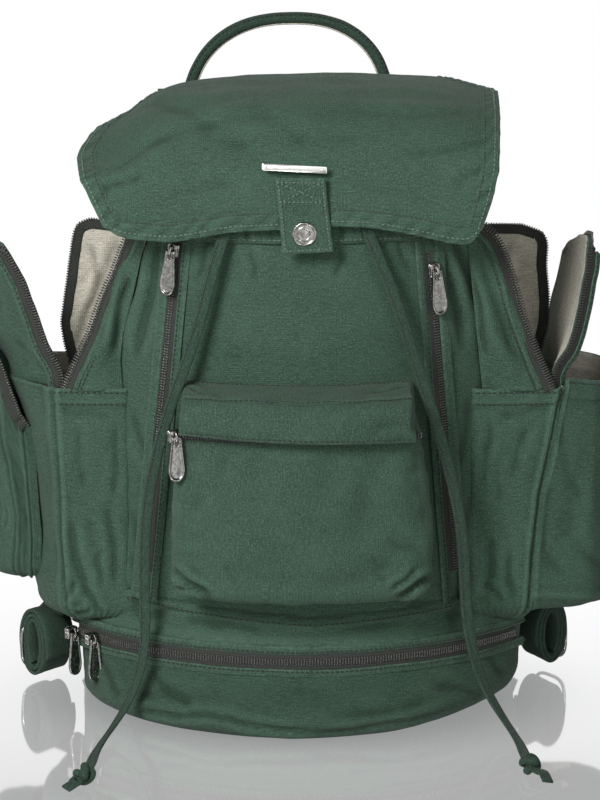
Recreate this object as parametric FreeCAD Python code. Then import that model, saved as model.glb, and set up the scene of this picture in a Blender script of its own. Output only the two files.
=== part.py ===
"""Canvas backpack with side pockets, a main flap, a zipped base compartment and two free drawstrings.

Millimetres, +Z up, the pack's front faces -Y. The origin is under the middle of the pack, on the ground.
Most curved walls turn about one vertical axis behind the front, at (0, ARC_Y).
"""

import FreeCAD, Part
import math
import os

from FreeCAD import Vector

# The arc of the front, seen from above
ARC_Y = 112.0            # the arc's centre
BASE_R = 212.0           # base compartment
PANEL_R = 207.0          # main front panel at its lower edge
PANEL_R_TOP = 203.0      # main front panel at its upper edge

# Heights
FLOOR_T = 2.7            # bottom panel
BASE_TOP = 59.0
DIVIDER_T = 2.5
MAIN_BOTTOM = 62.0
THROAT_TOP = 372.0
BACK_TOP = 415.0

# Widths and depths
CLOTH = 3.0              # canvas and lining together
BASE_HALF = 158.0
MAIN_HALF = 150.0        # at MAIN_BOTTOM
THROAT_HALF = 115.0      # at THROAT_TOP
BACK_Y = 85.0
GAP = 0.3                # between cloth walls that are sewn edge to edge

# Main flap
FLAP_T = 2.4
LINING_T = 0.8
FLAP_FRONT_Y = -102.5
FLAP_TOP = 440.0
FLAP_HINGE = (87.0, 418.0)
SNAP_X, SNAP_Z = 3.0, 355.0

# Front pocket
POCKET_BOTTOM, POCKET_TOP = 96.0, 229.0
POCKET_R_LOW, POCKET_R_HIGH = 247.0, 241.0
POCKET_DEG = 20.8
STORM_R = 254.5
STORM_DEG = 17.6

# Side pockets, given for the right side (+X) and mirrored
SIDE_X = 170.0
SIDE_FRONT, SIDE_BACK = -52.0, 60.0
SIDE_BOTTOM, SIDE_TOP = 75.0, 235.0
DOOR_LEAN = 18.0
DOOR_LENGTH = 108.0
OUTER_X = 230.0          # outer face of the small pocket and of the bottle sleeve

# Zips. A slider sits on its coil with its bail on top, and heights count outwards from the coil.
TAPE_T = 0.9
TAPE_HALF = 6.5
COIL_T = 0.8             # how far the coil stands above its tape
COIL_HALF = 2.0
FRONT_ZIP_LOW = (109.0, 108.0)
SLIDER_LIFT = 0.3
SLIDER_BODY = 3.6
BAIL_TOP = 7.3
PIVOT = 5.5
PULL_LENGTH = 31.0

# Shoulder straps, given for the right side
STRAP_TOP = (45.0, 93.0, 384.0)
STRAP_LOW = (150.0, 89.0, 36.0)
STRAP_BOW = 41.3         # how far a strap's pad stands out from the line between its ends

# Haul loop
LOOP_X, LOOP_Y, LOOP_Z = -8.5, 95.0, 413.0
LOOP_FOOT = 68.0         # half the distance between its feet
LOOP_TUBE = 4.5
LOOP_LEAN = 12.0

# Drawstrings
CORD_R = 2.5
KNOT_R = 7.0
KNOT_LENGTH = 17.0
KNOT_TAIL = 20.0
EYELET_Z = 364.0
EYELET_HOLE, EYELET_RIM = 3.6, 6.5
LEFT_EXIT_DEG, RIGHT_EXIT_DEG = -13.3, 12.1


def front_radius(z):
    """Radius of the main front panel's outer face at a height."""
    share = (z - MAIN_BOTTOM) / (THROAT_TOP - MAIN_BOTTOM)
    return PANEL_R + (PANEL_R_TOP - PANEL_R) * share


def half_width(z):
    """Half the width of the main compartment at a height."""
    share = (z - MAIN_BOTTOM) / (THROAT_TOP - MAIN_BOTTOM)
    return MAIN_HALF + (THROAT_HALF - MAIN_HALF) * share


def pocket_radius(z):
    """Radius of the front pocket's outer face at a height."""
    share = (z - POCKET_BOTTOM) / (POCKET_TOP - POCKET_BOTTOM)
    return POCKET_R_LOW + (POCKET_R_HIGH - POCKET_R_LOW) * share


def on_arc(radius, degrees, z):
    """The point at a radius and an angle from straight ahead, positive towards +X."""
    a = math.radians(degrees)
    return Vector(radius * math.sin(a), ARC_Y - radius * math.cos(a), z)


def turned(profile, start, end):
    """Solid made by turning a (radius, z) profile about the front arc's axis."""
    points = [on_arc(r, start, z) for r, z in profile]
    face = Part.Face(Part.makePolygon(points + points[:1]))
    return face.revolve(Vector(0, ARC_Y, 0), Vector(0, 0, 1), end - start)


def box(x0, x1, y0, y1, z0, z1):
    return Part.makeBox(x1 - x0, y1 - y0, z1 - z0, Vector(x0, y0, z0))


def prism_y(outline, y0, y1):
    """An (x, z) outline carried along Y."""
    points = [Vector(x, y0, z) for x, z in outline]
    return Part.Face(Part.makePolygon(points + points[:1])).extrude(Vector(0, y1 - y0, 0))


def mirrored(shape, side):
    """The right-hand shape for side +1, or its mirror image for side -1."""
    return shape if side > 0 else shape.mirror(Vector(0, 0, 0), Vector(1, 0, 0))


def seat(origin, across, down, out):
    """The placement that carries (across, down, out) axes to an origin in the pack's frame."""
    return FreeCAD.Placement(FreeCAD.Matrix(
        across.x, down.x, out.x, origin.x,
        across.y, down.y, out.y, origin.y,
        across.z, down.z, out.z, origin.z,
        0, 0, 0, 1))


def main_core(grow, z0=MAIN_BOTTOM, z1=THROAT_TOP, deep=BACK_Y):
    """The main compartment's outer form as one solid, grown outwards by a distance."""
    cone = Part.makeCone(front_radius(z0) + grow, front_radius(z1) + grow, z1 - z0, Vector(0, ARC_Y, z0))
    low, high = half_width(z0) + grow, half_width(z1) + grow
    sides = prism_y([(-low, z0), (low, z0), (high, z1), (-high, z1)], -200, deep)
    return cone.common(sides)


def base_core(grow, z0, z1, deep=BACK_Y):
    """The base compartment's outer form as one solid, grown outwards by a distance."""
    disc = Part.makeCylinder(BASE_R + grow, z1 - z0, Vector(0, ARC_Y, z0))
    half = BASE_HALF + grow
    return disc.common(box(-half, half, -200, deep, z0, z1))


def main_compartment():
    """The walls of the main compartment, the back panel and the pad on it."""
    wall_back = BACK_Y - CLOTH - GAP
    shell = main_core(0, deep=wall_back).cut(main_core(-CLOTH, deep=wall_back))
    low, high = MAIN_HALF - CLOTH, THROAT_HALF - CLOTH
    ahead = [(-low, MAIN_BOTTOM), (low, MAIN_BOTTOM), (high, THROAT_TOP), (-high, THROAT_TOP)]
    front = shell.common(prism_y(ahead, -200, BACK_Y))
    beside = [(low + 0.05, MAIN_BOTTOM), (200, MAIN_BOTTOM), (200, THROAT_TOP), (high + 0.05, THROAT_TOP)]
    right = shell.common(prism_y(beside, -200, BACK_Y))
    for exit_deg in (LEFT_EXIT_DEG, RIGHT_EXIT_DEG):
        front = front.cut(drill(exit_deg, EYELET_HOLE))
    back = [(-BASE_HALF, FLOOR_T + GAP), (BASE_HALF, FLOOR_T + GAP), (BASE_HALF, BASE_TOP),
            (MAIN_HALF, MAIN_BOTTOM), (THROAT_HALF, THROAT_TOP), (THROAT_HALF - 5, BACK_TOP),
            (5 - THROAT_HALF, BACK_TOP), (-THROAT_HALF, THROAT_TOP), (-MAIN_HALF, MAIN_BOTTOM),
            (-BASE_HALF, BASE_TOP)]
    export("front_panel", front)
    export("side_panel_right", right)
    export("side_panel_left", mirrored(right, -1))
    export("back_panel", prism_y(back, BACK_Y - CLOTH, BACK_Y))
    pad = [(-100, 80), (100, 80), (92, 330), (-92, 330)]
    export("back_pad", prism_y(pad, BACK_Y + GAP, BACK_Y + 10))


def base_compartment():
    """The zipped compartment under the main one: its wall, its bottom and the floor above it."""
    wall_back = BACK_Y - CLOTH - GAP
    outer = base_core(0, FLOOR_T + GAP, BASE_TOP, wall_back)
    export("base_wall", outer.cut(base_core(-CLOTH, 0, BASE_TOP + 1, wall_back + 1)))
    export("bottom_panel", base_core(0, 0, FLOOR_T))
    export("compartment_floor", base_core(-CLOTH - GAP, BASE_TOP, BASE_TOP + DIVIDER_T, wall_back))


def drill(degrees, radius):
    """A drill through the throat on the way out of an eyelet."""
    start, end = on_arc(190, degrees, EYELET_Z), on_arc(215, degrees, EYELET_Z)
    return Part.makeCylinder(radius, (end - start).Length, start, end - start)


def throat():
    """The drawcord's casing round the top of the front, its two eyelets and the flap's snap stud."""
    low, high = 346.0, 374.0
    inner, outer = front_radius(low) + GAP, front_radius(low) + GAP + 2.0
    casing = turned([(inner, low), (outer, low), (outer - 0.4, high), (inner, high)], -31, 31)
    rings = []
    for exit_deg in (LEFT_EXIT_DEG, RIGHT_EXIT_DEG):
        casing = casing.cut(drill(exit_deg, EYELET_HOLE))
        start = on_arc(outer + 0.5, exit_deg, EYELET_Z)
        away = on_arc(outer + 1.5, exit_deg, EYELET_Z) - start
        rim = Part.makeCylinder(EYELET_RIM, 1.0, start, away)
        rings.append(rim.cut(Part.makeCylinder(EYELET_HOLE, 1.0, start, away)))
    export("drawcord_casing", casing)
    export("drawcord_eyelets", Part.Compound(rings))
    stud_back = ARC_Y - outer - 0.1
    stud = Part.makeCylinder(4.5, stud_back + 98.8, Vector(SNAP_X, stud_back, SNAP_Z), Vector(0, -1, 0))
    export("snap_stud", stud)


def band(path_outer, thickness, inset):
    """A closed (y, z) outline between a path and the same path moved inwards.

    The path is a list of (centre, radius, start, end) arcs in degrees, joined end to start.
    """
    edges, ends = [], []
    for shift in (inset, inset + thickness):
        chain = []
        for (cy, cz), radius, start, end in path_outer:
            r = radius - shift
            at = [Vector(0, cy + r * math.cos(math.radians(a)), cz + r * math.sin(math.radians(a)))
                  for a in (start, (start + end) / 2, end)]
            chain.append(Part.Arc(*at).toShape())
            ends.append((at[0], at[2]))
        edges.append(chain)
    count = len(path_outer)
    closing = [Part.LineSegment(ends[0][0], ends[count][0]).toShape(),
               Part.LineSegment(ends[count - 1][1], ends[-1][1]).toShape()]
    return Part.Face(Part.Wire(Part.__sortEdges__(edges[0] + edges[1] + closing)))


def flap_sheet(thickness, inset, outline):
    """Crown and front drop of the flap as one sheet, trimmed to its front outline."""
    crown_r, nose_r = 180.0, 46.0
    split = 118.0                                    # where the crown runs into the nose, in degrees
    nose_y = FLAP_FRONT_Y + nose_r
    crown_y = nose_y - (crown_r - nose_r) * math.cos(math.radians(split))
    crown_z = FLAP_TOP - crown_r
    nose_z = crown_z + (crown_r - nose_r) * math.sin(math.radians(split))
    start = math.degrees(math.acos((FLAP_HINGE[0] - crown_y) / crown_r))
    face = band([((crown_y, crown_z), crown_r, start, split), ((nose_y, nose_z), nose_r, split, 180.0)],
                thickness, inset)
    front_y = FLAP_FRONT_Y + inset
    drop = box(-200, 200, front_y, front_y + thickness, 300, nose_z)
    sheet = face.extrude(Vector(400, 0, 0))
    sheet.translate(Vector(-200, 0, 0))
    whole = sheet.fuse(drop).removeSplitter()
    relief = Part.makeCylinder(8.0, 40, Vector(SNAP_X, FLAP_FRONT_Y - 10, SNAP_Z), Vector(0, 1, 0))
    return whole.common(prism_y(outline, -200, 200)).cut(relief)


def flap():
    """The main flap with its lining, plate, tab and snap."""
    outline = [(-150, 410), (-118, 350), (-90, 347), (-45, 355), (0, 357), (43, 356), (75, 353), (106, 348),
               (118, 362), (136, 425), (136, 460), (-150, 460)]
    export("main_flap", flap_sheet(FLAP_T, 0.0, outline))
    lining = [(-144, 411), (-114, 354), (-90, 351), (-45, 359), (0, 361), (43, 360), (75, 357), (103, 352),
              (113, 363), (131, 426), (131, 460), (-144, 460)]
    export("flap_lining", flap_sheet(LINING_T, FLAP_T + 0.15, lining))
    plate_y = FLAP_FRONT_Y - 0.1
    export("label_plate", box(-25.5, 18.0, plate_y - 1.2, plate_y, 396.5, 401.2))
    tab_back = FLAP_FRONT_Y - 0.6
    tab_front = tab_back - 2.2
    root = [(-17, 392), (17, 392), (18.6, 376.4), (-15, 376.4)]
    tab = [(-14.9, 376), (18.7, 376), (22.5, 343), (-11.5, 341)]
    export("snap_tab_root", prism_y(root, tab_front, tab_back))
    export("snap_tab", prism_y(tab, tab_front, tab_back))
    cap_seat = Vector(SNAP_X, tab_front - 0.05, SNAP_Z)
    socket_seat = Vector(SNAP_X, tab_back + 0.05, SNAP_Z)
    export("snap_cap", Part.makeCylinder(8.5, 3.0, cap_seat, Vector(0, -1, 0)))
    export("snap_socket", Part.makeCylinder(6.0, 3.6, socket_seat, Vector(0, 1, 0)))


def chain_profile(radius, z):
    """Section of a closed zip on the arc: a tape with the coil standing on it."""
    r1, r2 = radius + TAPE_T, radius + TAPE_T + COIL_T
    return [(radius, z - TAPE_HALF), (r1, z - TAPE_HALF), (r1, z - COIL_HALF), (r2, z - COIL_HALF),
            (r2, z + COIL_HALF), (r1, z + COIL_HALF), (r1, z + TAPE_HALF), (radius, z + TAPE_HALF)]


def slider(across, along):
    """Slider body with a bail: x across the pull, y down it, z outwards."""
    body = box(-across / 2, across / 2, -along / 2, along / 2, SLIDER_LIFT, SLIDER_LIFT + SLIDER_BODY)
    bail = box(-1.1, 1.1, -4, 4, SLIDER_LIFT + SLIDER_BODY - 0.5, BAIL_TOP)
    window = box(-2, 2, -2.6, 2.6, PIVOT - 1.2, PIVOT + 1.2)
    return body.fuse(bail.cut(window)).removeSplitter()


def pull():
    """Teardrop pull with a slot for the bail, hanging down +y from a round bar."""
    wide, narrow, thick = 5.7, 3.6, 1.8
    tip = PULL_LENGTH - wide
    flank = math.radians(8)
    outline = [Vector(-narrow, 0, 0), Vector(narrow, 0, 0),
               Vector(wide * math.cos(flank), tip - wide * math.sin(flank), 0),
               Vector(-wide * math.cos(flank), tip - wide * math.sin(flank), 0)]
    plate = Part.Face(Part.makePolygon(outline + outline[:1])).extrude(Vector(0, 0, thick))
    plate = plate.fuse(Part.makeCylinder(wide, thick, Vector(0, tip, 0)))
    plate = plate.cut(box(-2.2, 2.2, -1, 6, -1, thick + 1))
    plate.translate(Vector(0, 0, -thick / 2))
    bar = Part.makeCylinder(0.8, 2 * narrow, Vector(-narrow, 0, 0), Vector(1, 0, 0))
    return plate.fuse(bar).removeSplitter()


def zip_hardware(name, origin, out, down, across_size, along_size):
    """Export a slider and its pull, and print the pull's pivot."""
    across = down.cross(out)
    place = seat(origin, across, down, out)
    body = slider(across_size, along_size)
    body.Placement = place.multiply(body.Placement)
    tag = pull()
    tag.translate(Vector(0, 0, PIVOT))
    tag.Placement = place.multiply(tag.Placement)
    export(name + "_slider", body)
    export(name + "_pull", tag)
    pivot = origin + out * PIVOT
    print("pivot", name, [round(v, 2) for v in pivot], "axis", [round(v, 4) for v in across])


def front_zip(side, top_x, top_z, slider_z):
    """Make a straight zip down one side of the front panel: export its hardware and return its chain."""
    name = "front_zip_right" if side > 0 else "front_zip_left"
    low_x, low_z = FRONT_ZIP_LOW
    mid_deg = math.degrees(math.asin((top_x + low_x) / 2 / PANEL_R)) * side

    def on_panel(x, z):
        r = front_radius(z) + TAPE_T
        return Vector(side * x, ARC_Y - math.sqrt(r * r - x * x), z)

    top, low = on_panel(top_x, top_z), on_panel(low_x, low_z)
    down = (low - top).normalize()
    out = on_arc(1, mid_deg, 0) - on_arc(0, mid_deg, 0)
    out = (out - down * out.dot(down)).normalize()
    across = down.cross(out)
    length = (low - top).Length
    tape = box(-TAPE_HALF, TAPE_HALF, 0, length, 0, TAPE_T)
    chain = tape.fuse(box(-COIL_HALF, COIL_HALF, 0, length, 0.5, TAPE_T + COIL_T)).removeSplitter()
    chain.Placement = seat(top, across, down, out)
    share = (top_z - slider_z) / (top_z - low_z)
    zip_hardware(name, top + (low - top) * share + out * (TAPE_T + COIL_T), out, down, 9, 11)
    print("track", name, [round(v, 4) for v in down], "travel", round(length * (1 - share) - 9, 1))
    return chain


def arc_hardware(name, chain_radius, degrees, z):
    """Slider and pull of a level zip on the arc; the pull hangs down."""
    out = on_arc(1, degrees, 0) - on_arc(0, degrees, 0)
    zip_hardware(name, on_arc(chain_radius, degrees, z), out, Vector(0, 0, -1), 11, 9)


def front_pocket():
    """A zipped pocket that stands out from the panel, with a storm flap over its zip."""
    inner = PANEL_R - 0.2
    t = CLOTH
    low_z, high_z = POCKET_BOTTOM, POCKET_TOP
    low_r, high_r = pocket_radius(low_z), pocket_radius(high_z)
    wall = [(inner, low_z), (low_r - 4, low_z), (low_r, low_z + 6), (high_r, high_z), (inner, high_z),
            (inner, high_z - t), (high_r - t, high_z - t), (low_r - t, low_z + 7), (low_r - t - 3, low_z + t),
            (inner, low_z + t)]
    end = [(inner, low_z), (low_r - 4, low_z), (low_r, low_z + 6), (high_r, high_z), (inner, high_z)]
    side_deg = 0.7
    bag = turned(wall, -POCKET_DEG, POCKET_DEG)
    for start in (-POCKET_DEG, POCKET_DEG - side_deg):
        bag = bag.fuse(turned(end, start, start + side_deg))
    export("front_pocket_bag", bag.removeSplitter())
    zip_z = 219.0
    zip_r = pocket_radius(zip_z - TAPE_HALF) + GAP
    chain = turned(chain_profile(zip_r, zip_z), -POCKET_DEG + 0.2, POCKET_DEG - 0.2)
    export("front_pocket_zip_chain", chain)
    arc_hardware("front_pocket_zip", zip_r + TAPE_T + COIL_T, -19.5, zip_z)
    storm = [(205.9, 243.0), (STORM_R - 2.5, 243.0), (STORM_R - 2.5, 222.5), (STORM_R, 222.5),
             (STORM_R, 245.5), (205.9, 245.5)]
    export("pocket_storm_flap", turned(storm, -STORM_DEG, STORM_DEG))


def base_zip():
    """The level zip round the base compartment, with two sliders near its left end."""
    zip_z, zip_r = 52.4, BASE_R + GAP
    export("base_zip_chain", turned(chain_profile(zip_r, zip_z), -48.0, 46.0))
    arc_hardware("base_zip_front", zip_r + TAPE_T + COIL_T, -41.5, zip_z)
    arc_hardware("base_zip_rear", zip_r + TAPE_T + COIL_T, -47.0, zip_z)


def side_pocket(side):
    """Make a side pocket with its upper walls and its open door; return the zip tape on its front edge."""
    tag = "right" if side > 0 else "left"
    name = "side_pocket_" + tag
    t = CLOTH
    outer = box(100, SIDE_X, SIDE_FRONT, SIDE_BACK, SIDE_BOTTOM, SIDE_TOP)
    room = box(99, SIDE_X - t, SIDE_FRONT + t, SIDE_BACK - t, SIDE_BOTTOM + t, SIDE_TOP + 1)
    export(name + "_bag", mirrored(outer.cut(room).cut(main_core(0.2)), side))
    top = SIDE_TOP + GAP
    gusset = prism_y([(half_width(top) + 0.3, top), (161, top), (122, 338), (half_width(338) + 0.3, 338)],
                     SIDE_FRONT, SIDE_FRONT + t)
    gusset = gusset.cut(main_core(0.2))
    lip = prism_y([(half_width(top) + 0.3, top), (161, top), (162, 256), (154, 334), (150, 348),
                   (half_width(348) + 0.3, 348)], 22, 22 + t)
    export(name + "_upper", mirrored(Part.Compound([gusset, lip]), side))
    door = box(0, t, SIDE_FRONT + 4, SIDE_BACK - 6, 1.5, DOOR_LENGTH)
    door.rotate(Vector(0, 0, 0), Vector(0, 1, 0), DOOR_LEAN)
    door.translate(Vector(SIDE_X - t, 0, SIDE_TOP))
    export(name + "_door", mirrored(door, side))
    tape = box(t + 0.2, t + 1.4, SIDE_FRONT + 4, SIDE_FRONT + 12, 2.5, DOOR_LENGTH)
    tape.rotate(Vector(0, 0, 0), Vector(0, 1, 0), DOOR_LEAN)
    tape.translate(Vector(SIDE_X - t, 0, SIDE_TOP))
    export(name + "_zip_door", mirrored(tape, side))
    rise = math.hypot(161 - 122, 338 - top)
    strip = box(-8, 0, 0, 1.2, 0, rise)
    strip.rotate(Vector(0, 0, 0), Vector(0, 1, 0), math.degrees(math.atan2(122 - 161, 338 - top)))
    strip.translate(Vector(161, SIDE_FRONT - 1.4, top))
    return mirrored(strip.cut(main_core(0.2)), side)


def outer_pockets():
    """A small zipped pocket outside the left side pocket, and a bottle sleeve outside the right one."""
    t = CLOTH
    wall = SIDE_X + GAP
    form = [(wall, 92), (OUTER_X, 92), (OUTER_X, 262), (214, 272), (196, 232), (wall, 206)]
    room = [(wall - 1, 92 + t), (OUTER_X - t, 92 + t), (OUTER_X - t, 258), (215, 267), (198, 229),
            (wall - 1, 202)]
    pocket = prism_y(form, -28, 48).cut(prism_y(room, -28 + t, 48 - t))
    above = SIDE_TOP - 2                             # cut level here, so that the door swings clear
    door_sweep = [(wall - 1, above), (wall + 60, above), (wall + 60, 400), (wall - 1, 400)]
    export("outer_pocket_left", mirrored(pocket.cut(prism_y(door_sweep, -60, 80)), -1))
    sleeve = box(wall, OUTER_X, -30, 45, 72, 233)
    export("bottle_sleeve_right", sleeve.cut(box(wall - 1, OUTER_X - t, -30 + t, 45 - t, 72 + t, 234)))
    strip = prism_y([(197.0, 226.0), (198.6, 225.2), (187.6, 212.4), (186.4, 213.6)], -29.6, -28.3)
    export("outer_pocket_zip_chain", mirrored(strip, -1))


def haul_loop():
    """An arch of two small arcs and one large one, leaning back over its feet."""
    side_r, top_r, drop = 40.0, 93.0, -45.0
    reach = LOOP_FOOT - side_r
    tangent = (-top_r * reach / math.hypot(reach, drop), drop - top_r * drop / math.hypot(reach, drop))

    def point(x, z):
        return Vector(x, 0, z)

    mid_left = point(-reach - side_r * math.cos(math.radians(30)), side_r * math.sin(math.radians(30)))
    start = point(-reach - side_r, 0)
    left = point(*tangent)
    right = point(-tangent[0], tangent[1])
    path = Part.Wire([Part.LineSegment(point(start.x, -5), start).toShape(),
                      Part.Arc(start, mid_left, left).toShape(),
                      Part.Arc(left, point(0, top_r + drop), right).toShape(),
                      Part.Arc(right, point(-mid_left.x, mid_left.z), point(-start.x, 0)).toShape(),
                      Part.LineSegment(point(-start.x, 0), point(-start.x, -5)).toShape()])
    ring = Part.Wire(Part.makeCircle(LOOP_TUBE, point(start.x, -5), Vector(0, 0, 1)))
    loop = path.makePipeShell([ring], True, False)
    loop.rotate(Vector(0, 0, 0), Vector(1, 0, 0), -LOOP_LEAN)
    loop.translate(Vector(LOOP_X, LOOP_Y, LOOP_Z))
    export("haul_loop", loop)
    feet = [LOOP_X - LOOP_FOOT, LOOP_X + LOOP_FOOT]
    patches = [box(x - 10, x + 10, BACK_Y + GAP, 88.2, 385, 404) for x in feet]
    export("haul_loop_patches", Part.Compound(patches))


def strap_outline(points, thickness):
    """Closed outline of a strap seen edge on: a path and its copy moved outwards."""
    moved = []
    for i, (u, v) in enumerate(points):
        u0, v0 = points[max(i - 1, 0)]
        u1, v1 = points[min(i + 1, len(points) - 1)]
        length = math.hypot(u1 - u0, v1 - v0)
        moved.append((u - (v1 - v0) / length * thickness, v + (u1 - u0) / length * thickness))
    return points + moved[::-1]


def shoulder_strap(side):
    """A padded strap with its tongue, the webbing below it and the ladder lock between them."""
    tag = "right" if side > 0 else "left"
    top = Vector(side * STRAP_TOP[0], *STRAP_TOP[1:])
    low = Vector(side * STRAP_LOW[0], *STRAP_LOW[1:])
    down = (low - top).normalize()
    out = Vector(0, 1, 0)
    out = (out - down * out.dot(down)).normalize()
    across = out.cross(down)

    def extruded(points, thickness, half):
        outline = [top + down * u + out * v - across * half for u, v in strap_outline(points, thickness)]
        return Part.Face(Part.makePolygon(outline + outline[:1])).extrude(across * (2 * half))

    tongue = extruded([(0, 2), (18, 16)], 6.0, 14)
    pad = extruded([(18.4, 16.4), (60, 34), (120, STRAP_BOW), (190, 36), (250, 24)], 9.0, 27)
    export("shoulder_strap_" + tag, Part.Compound([pad, tongue]))
    export("strap_webbing_" + tag, extruded([(250.6, 26), (310, 17), (376, 3)], 2.5, 12.5))
    frame = extruded([(254, 29.2), (276, 26)], 3.0, 17)
    for u in (259.5, 268.5):
        hole = extruded([(u - 2.5, 20), (u + 2.5, 20)], 20, 13)
        frame = frame.cut(hole)
    export("ladder_lock_" + tag, frame)


def strap_tail(side):
    """Make a roll of spare webbing hung from the lower corner; return the metal slide that holds it."""
    tag = "right" if side > 0 else "left"

    def stadium(cx, cz, half_w, half_h, y0, y1):
        block = box(cx - half_w, cx + half_w, y0, y1, cz - half_h + half_w, cz + half_h - half_w)
        for z in (cz - half_h + half_w, cz + half_h - half_w):
            block = block.fuse(Part.makeCylinder(half_w, y1 - y0, Vector(cx, y0, z), Vector(0, 1, 0)))
        return block.removeSplitter()

    cx, cz = 177.5, 32.5
    roll = stadium(cx, cz, 16, 25, 42, 68).cut(stadium(cx, cz, 9, 18, 41, 69))
    stub = box(BASE_HALF + GAP, cx - 8, 42, 68, 44, 47)
    export("strap_tail_" + tag, mirrored(roll.fuse(stub).removeSplitter(), side))
    ring = box(cx + 16.3, cx + 19.3, 38, 72, 20, 44).cut(box(cx + 16, cx + 20, 42.5, 67.5, 24, 40))
    return mirrored(ring, side)


def drawstring(name, points):
    """Export a round cord along straight runs joined by tangent arcs, with its knot."""
    points = [Vector(*p) for p in points]
    edges, length, radii, at = [], 0.0, [], points[0]
    for i in range(1, len(points) - 1):
        before, here, after = points[i - 1], points[i], points[i + 1]
        back, ahead = (before - here).normalize(), (after - here).normalize()
        run = min((before - here).Length, (after - here).Length)
        half_turn = (math.pi - back.getAngle(ahead)) / 2
        trim = 0.45 * run
        radius = trim / math.tan(half_turn)
        enter, leave = here + back * trim, here + ahead * trim
        bisector = (back + ahead).normalize()
        middle = here + bisector * (radius / math.cos(half_turn) - radius)
        edges += [Part.LineSegment(at, enter).toShape(), Part.Arc(enter, middle, leave).toShape()]
        length += (enter - at).Length + 2 * half_turn * radius
        radii.append(round(radius, 1))
        at = leave
    edges.append(Part.LineSegment(at, points[-1]).toShape())
    length += (points[-1] - at).Length
    path = Part.Wire(edges)
    ring = Part.Wire(Part.makeCircle(CORD_R, points[0], points[1] - points[0]))
    tube = path.makePipeShell([ring], True, False)
    print(name, "length", round(length, 1), "volume ratio",
          round(tube.Volume / (math.pi * CORD_R ** 2 * length), 4), "radii", radii)
    export(name, tube)
    ahead = (points[-1] - points[-2]).normalize()
    knot = Part.makeCylinder(KNOT_R, KNOT_LENGTH, points[-1], ahead)
    drop = Vector(ahead.x, ahead.y, 0).normalize() * KNOT_TAIL
    knot_end = points[-1] + ahead * (KNOT_LENGTH - 1)
    tail_way = Vector(drop.x, drop.y, CORD_R + 0.4 - knot_end.z)
    tail_rod = Part.makeCylinder(CORD_R, KNOT_TAIL + 1, knot_end, tail_way)
    export(name + "_knot", knot.fuse(tail_rod).removeSplitter())


LEFT_ROUTE = [
    on_arc(201, LEFT_EXIT_DEG, EYELET_Z), on_arc(211.3, LEFT_EXIT_DEG, 363),
    (-50.5, -94.3, 352.5), (-55.5, -95.5, 338.5), (-61.5, -96.3, 317), (-67.5, -96.6, 293),
    (-76.5, -96.2, 266), (-87.5, -95, 236), (-97, -93.5, 203), (-104, -92, 170), (-107, -91, 137),
    (-107.8, -90, 104), (-107.2, -89.5, 72), (-110, -90.5, 45), (-119, -97, 22), (-129.5, -111, 8.5),
    (-136.5, -131, 4.2), (-140, -153, 4.0), (-140.8, -174, 5.0), (-142.5, -191, 7.2)]
RIGHT_ROUTE = [
    on_arc(201, RIGHT_EXIT_DEG, EYELET_Z), on_arc(211.3, RIGHT_EXIT_DEG, 363),
    (46.2, -94.8, 352.5), (52, -95.8, 338.5), (60, -96.5, 320), (68, -96.8, 298), (75.5, -96.4, 273),
    (84.5, -95.4, 247), (93, -94.4, 221), (101, -93.4, 193), (108, -92.4, 165), (112.8, -91.8, 135),
    (114.2, -91.4, 105), (116.6, -91, 75), (122, -91.2, 50), (130.5, -94, 28), (140.8, -102, 12.5),
    (148, -117, 5.5), (151.5, -136, 4.2), (152.5, -155, 5.0), (153.5, -172, 7.2)]


def export(name, shape):
    """Write one piece and keep it for the sizes printed at the end."""
    solids = shape.Solids
    if not solids or not all(s.isValid() for s in solids):
        raise RuntimeError(name + " has no valid solid")
    whole = Part.Compound(solids) if len(solids) > 1 else solids[0]
    whole.exportStep(os.path.join("parts", name + ".step"))
    made.append((name, whole))


made = []
os.makedirs("parts", exist_ok=True)
main_compartment()
base_compartment()
throat()
flap()
front_chains = [front_zip(-1, 83.5, 345.0, 338.0), front_zip(1, 88.5, 336.0, 324.0)]
export("front_zip_chains", Part.Compound(front_chains))
front_pocket()
base_zip()
export("side_pocket_zip_tapes", Part.Compound([side_pocket(-1), side_pocket(1)]))
export("strap_tail_slides", Part.Compound([strap_tail(-1), strap_tail(1)]))
for each_side in (-1, 1):
    shoulder_strap(each_side)
outer_pockets()
haul_loop()
drawstring("drawstring_left", LEFT_ROUTE)
drawstring("drawstring_right", RIGHT_ROUTE)

bounds = FreeCAD.BoundBox()
for name, shape in made:
    if not name.startswith("drawstring"):
        bounds.add(shape.BoundBox)
print("nodes", len(made), "box", bounds)
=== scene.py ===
"""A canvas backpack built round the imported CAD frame. Sizes are in millimetres until a mesh is made."""

import math

import bpy
import numpy as np
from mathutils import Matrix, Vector


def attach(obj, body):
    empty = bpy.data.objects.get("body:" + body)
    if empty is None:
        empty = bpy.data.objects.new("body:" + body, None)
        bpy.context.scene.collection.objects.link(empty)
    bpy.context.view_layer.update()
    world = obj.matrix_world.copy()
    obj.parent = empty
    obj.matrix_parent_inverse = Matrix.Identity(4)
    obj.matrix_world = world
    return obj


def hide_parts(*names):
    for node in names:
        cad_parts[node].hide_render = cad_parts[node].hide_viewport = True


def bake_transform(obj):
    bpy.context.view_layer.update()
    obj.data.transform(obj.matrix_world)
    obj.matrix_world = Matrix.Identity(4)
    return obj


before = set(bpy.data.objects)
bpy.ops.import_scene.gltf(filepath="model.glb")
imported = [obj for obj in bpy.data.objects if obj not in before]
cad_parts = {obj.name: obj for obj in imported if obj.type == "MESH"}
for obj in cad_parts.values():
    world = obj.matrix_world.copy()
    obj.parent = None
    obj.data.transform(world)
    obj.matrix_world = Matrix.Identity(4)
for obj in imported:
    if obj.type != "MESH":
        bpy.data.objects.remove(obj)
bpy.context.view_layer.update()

MM = 0.001
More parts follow.
